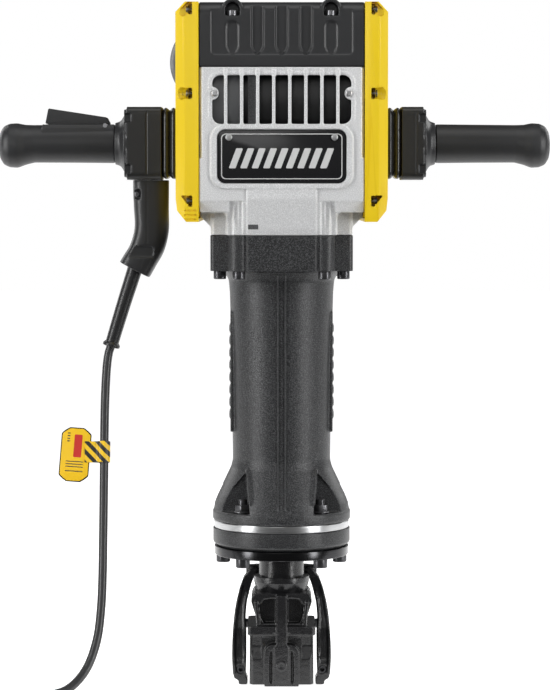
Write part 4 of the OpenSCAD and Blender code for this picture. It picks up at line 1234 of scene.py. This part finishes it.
def cover_piece(sx):
    side = prism("cover_moulding", [(sx * x, z) for x, z in
                 [(91.2, 530.2), (105, 530.2), (115.4, 542.5), (117, 556), (117, 760.5), (106, 771),
                  (91.2, 771)]], -101, 101, "y")
    plan = [(sx * x, y) for x, y in [(91.2, -101), (106.5, -101), (117, -87.5), (117, 87.5), (106.5, 101),
                                     (91.2, 101)]]
    carve(side, [prism("plan", plan, 500, 800)], "INTERSECT")
    bevel(side, 1.0, 3, 20)
    inner = prism("inner", [(sx * x, z) for x, z in
                  [(80, 534), (104, 534), (113.5, 543), (113.5, 757.5), (103.5, 767), (80, 767)]], -97.5,
                  97.5, "y")
    inner_plan = [(sx * x, y) for x, y in [(80, -97.5), (104, -97.5), (113.5, -85), (113.5, 85),
                                           (104, 97.5), (80, 97.5)]]
    carve(inner, [prism("inner_plan", inner_plan, 500, 800)], "INTERSECT")
    carve(side, [inner, prism("handle_way", box_outline(40, 38, 4, 0, GRIP_Z),
                              *sorted((sx * 100, sx * 130)), "x")])
    posts = []
    for y, z in COVER_HOLES:
        for sy in (-1, 1):
            posts.append(lathe("post", [(0, sx * 91.6), (9.2, sx * 91.6), (9.2, sx * 109), (0, sx * 109)],
                               40, "x",
                               (0, sy * y, z)))
    fence = prism("fence", [(sx * x, z) for x, z in
                  [(91.2, 531), (104.6, 531), (114.6, 543), (116, 556), (116, 760), (105.6, 770),
                   (91.2, 770)]], -100, 100, "y")
    fence_plan = [(sx * x, y) for x, y in [(91.2, -100), (106.3, -100), (116, -87.2), (116, 87.2),
                                           (106.3, 100), (91.2, 100)]]
    carve(fence, [prism("fence_plan", fence_plan, 500, 800)], "INTERSECT")
    posts = [carve(p, [top_copy(fence)], "INTERSECT") for p in posts]
    mesh = fence.data
    bpy.data.objects.remove(fence)
    bpy.data.meshes.remove(mesh)
    carve(side, posts, "UNION")
    cuts = []
    for y, z in COVER_HOLES:
        for sy in (-1, 1):
            at = (0, sy * y, z)
            if z == 671:
                cuts.append(lathe("pocket", [(0, sx * 102.8), (7.1, sx * 102.8), (7.1, sx * 125),
                                             (0, sx * 125)], 48, "x",
                                  (0, sy * 97.5, z)))
            cuts.append(lathe("hole", [(0, sx * 60), (2.6, sx * 60), (2.6, sx * 103), (0, sx * 103)], 24,
                              "x", at))
            cuts.append(prism("window", box_outline(4.6, 12.2, 1.3, sx * 100.4, z),
                              *sorted((sy * 87.4, sy * 110)), "y"))
            if z == 553:
                ramp = rounded([(sx * 102.5, 559.3), (sx * 111.5, 559.3), (sx * 102.5, 548)], 0.8)
                cuts.append(prism("ramp", ramp, *sorted((sy * 93.5, sy * 110)), "y"))
            if z > 700:
                notch = rounded([(sx * 102.5, 757), (sx * 108.5, 754.5), (sx * 115.4, 759.5),
                                 (sx * 103.6, 770.8),
                                 (sx * 98.2, 770.8), (sx * 98.2, 767)], 0.9)
                cuts.append(prism("notch", notch, *sorted((sy * 93.5, sy * 110)), "y"))
    if sx < 0:
        for z in (533.0, 537.8, 542.6):
            cuts.append(prism("louvre", box_outline(14, 2.0, 0.9, -100.2, z), -108, -99.2, "y"))
    carve(side, cuts)
    bevel(side, 0.45, 2, 35)
    return side


cover_left, cover_right = cover_piece(-1), cover_piece(1)
cover_left.name, cover_right.name = "cover_left_moulding", "cover_right_moulding"
finish_piece(cover_left, YELLOW, "machine", "side_cover_left")
finish_piece(cover_right, YELLOW, "machine", "side_cover_right")
side_screws = []
for sx in (-1, 1):
    for sy in (-1, 1):
        side_screws.append(placed(socket_head(5, 6, 2.4, 51), (sx * 54, sy * 93.5, 756), (0, 0, 1)))
        for y, z in COVER_HOLES:
            side_screws.append(placed(socket_head(4.2, 4, 2.1, 15.5), (sx * 101, sy * y, z), (sx, 0, 0)))
finish_piece(join("case_screws_set", side_screws), DARK_SCREW, "machine", "case_screws")

bulge = []
for k in range(13):
    a = math.asin(28.4 / 48.5) * k / 12
    bulge.append((48.5 * math.sin(a), -77.7 - 48.5 * math.cos(a)))
bulge += [(28.4, -115.5), (0, -115.5)]
side_dome = lathe("side_dome", bulge, 96, "x", (0, 0, 709))
finish_piece(soften(side_dome), CAP_PLASTIC, "machine", "side_cap")

# %% [markdown]
# The handles are hollow bars with a square root. The root is a moulded block with stepped corners, then a
# neck, then the grip, which swells slightly at the palm and ends in a bulb that stops the hand from
# sliding off.


# %% Handles
def handle_piece(sx, x_in, x_out, end_x):
    root = prism("root", box_outline(66, 82, 8, 0, GRIP_Z), *sorted((sx * x_in, sx * (x_out - 3))), "x")
    lip = prism("lip", box_outline(60, 76, 7, 0, GRIP_Z), *sorted((sx * (x_out - 5), sx * x_out)), "x")
    side = rounded([(0, x_out - 3), (33, x_out - 3), (32.4, x_out + 0.8), (25.4, x_out + 5),
                    (23.6, x_out + 10.6),
                    (23.6, x_out + 11.2), (17.4, x_out + 11.2), (17.4, end_x), (0, end_x)],
                   [0, 0, 1.5, 6, 6, 0, 0, 1, 0])
    neck = lathe("neck", [(r, sx * h) for r, h in side], 96, "x", (0, 0, GRIP_Z))
    carve(root, [lip, neck], "UNION")
    cuts = [prism("inner", box_outline(52, 66, 4, 0, GRIP_Z), *sorted((sx * (x_in + 4), sx * (x_out - 4))),
                  "x"),
            prism("way", box_outline(30, 34, 2, 0, GRIP_Z), *sorted((sx * (x_in - 2), sx * (x_in + 6))),
                  "x")]
    for q in (-1, 1):
        for v in (-1, 1):
            cuts.append(prism("notch", box_outline(9, 10, 2, sx * (x_out - 4), GRIP_Z + v * 28.5),
                              *sorted((q * 27.2, q * 44)), "y"))
        cuts.append(prism("seam", box_outline(1.4, 90, 0.3, sx * (x_in + 16.5), GRIP_Z),
                          *sorted((q * 32.0, q * 44)), "y"))
    if sx < 0:
        cuts.append(prism("trigger_slot", [(-12.5, 622), (12.5, 622), (12.5, 660), (-12.5, 660)], -269,
                          -190, "x"))
        tube_way = lathe("tube_way", [(0, -308), (14.4, -308), (14.4, -170), (0, -170)], 64, "x",
                         (0, 0, GRIP_Z))
        cuts.append(tube_way)
    carve(root, cuts)
    return cast(root, 0.8, 1, 0.3)


def grip_piece(sx, x0, x1, slot):
    length = x1 - x0
    profile = [(17.7, 0.2), (21.7, 0.2), (21.9, 4), (21.5, length * 0.35), (21.2, length - 40),
               (22.6, length - 30),
               (25.2, length - 21), (24.6, length - 12), (21.6, length - 5.5), (15, length - 1.6),
               (7, length - 0.1), (0, length - 0.1),
               (0, length - 8), (17.7, length - 8)]
    profile = rounded(profile, [0, 1, 4, 60, 18, 14, 12, 10, 8, 8, 4, 0, 0, 0], 7)
    out = lathe("grip", [(r, sx * (x0 + h)) for r, h in profile], 128, "x", (0, 0, GRIP_Z))
    for v in out.data.vertices:
        along = min(1.0, max(0.0, (abs(v.co.x) / MM - x0 - length + 45) / 26))
        v.co.z -= 2.0 * MM * along * along * (3 - 2 * along)
    if slot:
        walls = [prism("wall", rounded([(q * 12.0, 622), (q * 17.8, 624), (q * 17.4, 629.5),
                                        (q * 16.2, 634.5),
                                        (q * 13.8, 639), (q * 12.0, 639.4)], [0, 0, 3, 3, 1, 0]), -270,
                                        -188.6, "x") for q in (-1, 1)]
        carve(out, walls, "UNION")
        carve(out, [prism("slot", rounded([(-12.7, 624), (12.7, 624), (12.7, 662), (-12.7, 662)], 0.8),
                          -268, -189.4, "x")])
        cast(out, 0.8, 1, 0.3)
    return soften(out, 35)


left_root = handle_piece(-1, 134.8, 177, 312)
right_root = handle_piece(1, 135, 162.5, 296)
left_grip, right_grip = grip_piece(-1, 188.2, 320, True), grip_piece(1, 174.2, 304, False)
left_root.name, right_root.name = "handle_left_root", "handle_right_root"
left_grip.name, right_grip.name = "grip_left_sleeve", "grip_right_sleeve"
finish_piece(left_root, BLACK_PLASTIC, "left_handle", "handle_left")
finish_piece(right_root, BLACK_PLASTIC, "right_handle", "handle_right")
finish_piece(left_grip, GRIP_RUBBER, "left_handle", "grip_left")
finish_piece(right_grip, GRIP_RUBBER, "right_handle", "grip_right")

# %% [markdown]
# The trigger is a long paddle on top of the left grip, hinged at its inner end. It sits between two low
# walls of the grip. Its sides are flat, and its edges are broken, so it is comfortable under the fingers.

# %% Trigger
TRIGGER = [(-266.8, 640), (-263.3, 657.3), (-197.5, 647.2), (-194.2, 641), (-195.6, 635.2), (-200, 633.7),
           (-204, 634.2),
           (-212, 631.2), (-262, 631.2), (-263.8, 640)]
trigger = prism("trigger_paddle", rounded(TRIGGER, [2.5, 1.8, 2.5, 2, 2, 2, 2, 1, 1, 0.5], 6), -11.9, 11.9,
                "y")
trigger = bevel(trigger, 1.6, 4, 50)
finish_piece(trigger, CAP_PLASTIC, "trigger", "trigger")

# %% [markdown]
# Rubber bellows close the gap between cover and handle, and give as the handle floats up and down.
# Each is one folded sleeve, reaching from the machine at one end to the handle at the other.


# %% Bellows
BELLOWS_RUBBER = moulded("bellows_rubber", (0.008, 0.008, 0.0085), (0.013, 0.013, 0.0138), 0.24, 0.00012)


def bellows_piece(name, sx, x0, x1):
    steps, verts, faces = [], [], []
    n_folds = 2
    for k in range(n_folds * 8 + 1):
        t = k / (n_folds * 8)
        swell = 0.5 - 0.5 * math.cos(2 * math.pi * n_folds * t)
        steps.append((x0 + t * (x1 - x0), swell ** 0.7))
    rings = [(sx * x, box_outline(60 + 6 * s, 74 + 6 * s, 8 + s, 0, GRIP_Z, 5)) for x, s in steps]
    rings += [(sx * x, box_outline(44 + 4 * s, 40 + 4 * s, 4, 0, GRIP_Z, 5)) for x, s in reversed(steps)]
    n = len(rings[0][1])
    for x, ring_points in rings:
        verts += [(x, y, z) for y, z in ring_points]
    for i in range(len(rings)):
        j = (i + 1) % len(rings)
        faces += [[i * n + k, i * n + (k + 1) % n, j * n + (k + 1) % n, j * n + k] for k in range(n)]
    return soften(new_piece(name, verts, faces), 50)


bellows_left = bellows_piece("bellows_left_sleeve", -1, 117.1, 134.3)
bellows_right = bellows_piece("bellows_right_sleeve", 1, 117.1, 134.5)
for piece, node, body, sx in ((bellows_left, "bellows_left", "left_handle", -1),
                              (bellows_right, "bellows_right", "right_handle", 1)):
    piece.data.materials.append(BELLOWS_RUBBER)
    sx * 0.1185
    sx * 0.133
    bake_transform(piece)
    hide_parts(node)
    print(piece.name, len(piece.data.polygons), "faces, bends between machine and", body)

# %% [markdown]
# Under the left handle a two-part guard leads the cable down and outward to its sleeve. It is a loft: a
# rounded square that follows pairs of points, one on each edge. A parting line, a clamp recess and two
# screws finish it.

# %% Cable guard
GUARD = [((-168.3, 576.4), (-127.7, 576.4)), ((-168, 560), (-127.8, 560)), ((-167.4, 545), (-128, 545)),
         ((-166.6, 523), (-128.2, 518)), ((-171.5, 504), (-133.5, 496)), ((-179, 491.5), (-142.5, 479.5)),
         ((-183.5, 484), (-150, 466.2))]


def guard_piece():
    """A loft between outlines that tilt with the bend; each is a rounded square."""
    verts, faces, n = [], [], 56
    rows = []
    for k in range(len(GUARD) - 1):
        p = (GUARD[max(0, k - 1)], GUARD[k], GUARD[k + 1], GUARD[min(len(GUARD) - 1, k + 2)])
        for i in range(7 if k == len(GUARD) - 2 else 6):
            t = i / 6
            w = ((-t + 2 * t * t - t ** 3) / 2, (2 - 5 * t * t + 3 * t ** 3) / 2,
                 (t + 4 * t * t - 3 * t ** 3) / 2,
                 (t ** 3 - t * t) / 2)
            rows.append([sum(w[m] * p[m][e][c] for m in range(4)) for e in (0, 1) for c in (0, 1)])
    for xl, zl, xr, zr in rows:
        for m in range(n):
            a = 2 * math.pi * m / n
            u = math.copysign(abs(math.cos(a)) ** 0.62, math.cos(a))
            v = math.copysign(abs(math.sin(a)) ** 0.62, math.sin(a))
            verts.append(((xl + xr) / 2 + u * (xr - xl) / 2, v * 20.8, (zl + zr) / 2 + u * (zr - zl) / 2))
    for i in range(len(rows) - 1):
        faces += [[i * n + m, i * n + (m + 1) % n, (i + 1) * n + (m + 1) % n,
                   (i + 1) * n + m] for m in range(n)]
    faces += [list(reversed(range(n))), [len(verts) - n + m for m in range(n)]]
    return new_piece("cable_guard_shell", verts, faces)


guard = guard_piece()
grooves = []
for q in (-1, 1):
    seam = [(-152.6, 578), (-151.4, 578), (-151.4, 505), (-163.5, 464), (-164.8, 464), (-152.6, 505)]
    grooves.append(prism("parting", seam, *sorted((q * 20.1, q * 30)), "y"))
for q in (-1, 1):
    grooves.append(prism("clamp", box_outline(30, 13, 4.5, -159, 495.8), *sorted((q * 18.4, q * 30)), "y"))
    grooves.append(prism("window", box_outline(8.2, 11, 1.6, -163, 560.5), *sorted((q * 12.5, q * 30)),
                         "y"))
lean = math.radians(17.5)
way = lathe("sleeve_way", [(0, -60), (8.8, -60), (8.8, 26), (0, 26)], 48)
way.data.transform(Matrix.Translation((-0.1697, 0, 0.4658)) @ Matrix.Rotation(lean, 4, "Y"))
grooves.append(way)
carve(guard, grooves)
guard = cast(guard, 0.8, 5, 0.35)
finish_piece(guard, BLACK_PLASTIC, "left_handle", "cable_guard")
guard_screws = [placed(pan_screw(3.2, 1.6, 1.6), (-163, q * 13, 560.5), (0, q, 0)) for q in (-1, 1)]
finish_piece(join("guard_screws_set", guard_screws), DARK_SCREW, "left_handle")

# %% [markdown]
# The sleeve where the cord leaves the guard is a moulded rubber tube that tapers and flexes. It hangs in a
# gentle bow, and a bead closes its mouth.

# %% Sleeve
bow = smooth_line([Vector(p) for p in ((-163.8, 0, 486), (-166.6, 0, 476), (-169.9, 0, 465.5),
                                       (-178.0, 0, 440.5),
                                       (-186.2, 0, 414), (-192.4, 0, 393.5), (-194.2, 0, 387.6))], 3.0)
sizes = [8.7 - 1.2 * k / (len(bow) - 1) for k in range(len(bow))]
sleeve = tube("strain_tube", bow, sizes, 40)
mouth = lathe("mouth", rounded([(0, -6), (7.5, -6), (9.9, -3.2), (9.9, -0.6), (8.6, 0), (0, 0)],
                               [0, 0.6, 1, 1, 0.6, 0]), 56)
mouth.data.transform(Matrix.Translation((-0.1943, 0,
                                         0.3872)) @ Matrix.Rotation(math.radians(180) + lean, 4, "Y"))
print("sleeve", [round(v / MM, 1) for v in sleeve.dimensions], [round(v / MM, 1) for v in mouth.dimensions])
sleeve = join("strain_sleeve", [sleeve, mouth])
finish_piece(soften(sleeve, 50), SEAL_RUBBER, "left_handle", "strain_relief")

# %% [markdown]
# The scene is a plain pale floor and soft studio light. Two tall soft boxes stand well round to the left
# and right, where they draw long vertical highlights on the castings. One hangs above, a weak one fills
# from the front, and two stand behind. The floor ends just before the machine, so that black parts don't
# mirror it.


# %% Floor and light
floor_mesh = bpy.data.meshes.new("floor")
floor_mesh.from_pydata([(-8, -0.22, 0), (8, -0.22, 0), (8, 12, 0), (-8, 12, 0)], [], [(0, 1, 2, 3)])
floor = bpy.data.objects.new("floor", floor_mesh)
bpy.context.scene.collection.objects.link(floor)
floor_finish = Finish("pale_floor", Roughness=0.6, Emission_Color=(1, 1, 1, 1), Emission_Strength=0.95)
floor_finish.colour(floor_finish.mix(floor_finish.noise(3, 2), (0.86, 0.86, 0.86), (0.9, 0.9, 0.9)))
floor.data.materials.append(floor_finish.material)


def soft_box(name, at, aim, size, power, tone=(1, 1, 1)):
    data = bpy.data.lights.new(name, "AREA")
    data.shape, data.size, data.size_y = "RECTANGLE", size[0], size[1]
    data.energy, data.color = power, tone
    lamp = bpy.data.objects.new(name, data)
    bpy.context.scene.collection.objects.link(lamp)
    lamp.location = at
    lamp.rotation_euler = (Vector(aim) - Vector(at)).to_track_quat("-Z", "Y").to_euler()
    return lamp


MIDDLE = (0, 0, 0.42)
soft_box("left_box", (-2.1, -1.25, 0.85), MIDDLE, (0.55, 2.2), 46)
soft_box("right_box", (2.0, -1.35, 0.85), MIDDLE, (0.5, 2.2), 42)
soft_box("top_box", (0, -0.6, 2.6), MIDDLE, (1.8, 1.4), 15)
soft_box("front_box", (-0.5, -3.4, 1.5), MIDDLE, (1.6, 1.0), 10)
soft_box("back_left", (-1.5, 1.6, 1.3), MIDDLE, (0.8, 1.8), 14)
soft_box("back_right", (1.5, 1.6, 1.3), MIDDLE, (0.8, 1.8), 14)

world = bpy.data.worlds.new("pale_room")
bpy.context.scene.world = world
world.use_nodes = True
sky = world.node_tree
room = sky.nodes["Background"]
room.inputs[0].default_value, room.inputs[1].default_value = (1, 1, 1, 1), 0.10
seen = sky.nodes.new("ShaderNodeBackground")
seen.inputs[0].default_value, seen.inputs[1].default_value = (1, 1, 1, 1), 1.0
pick, ray = sky.nodes.new("ShaderNodeMixShader"), sky.nodes.new("ShaderNodeLightPath")
sky.links.new(ray.outputs["Is Camera Ray"], pick.inputs[0])
sky.links.new(room.outputs[0], pick.inputs[1])
sky.links.new(seen.outputs[0], pick.inputs[2])
sky.links.new(pick.outputs[0], sky.nodes["World Output"].inputs[0])
bpy.context.scene.view_settings.view_transform = "Standard"
print("lit")
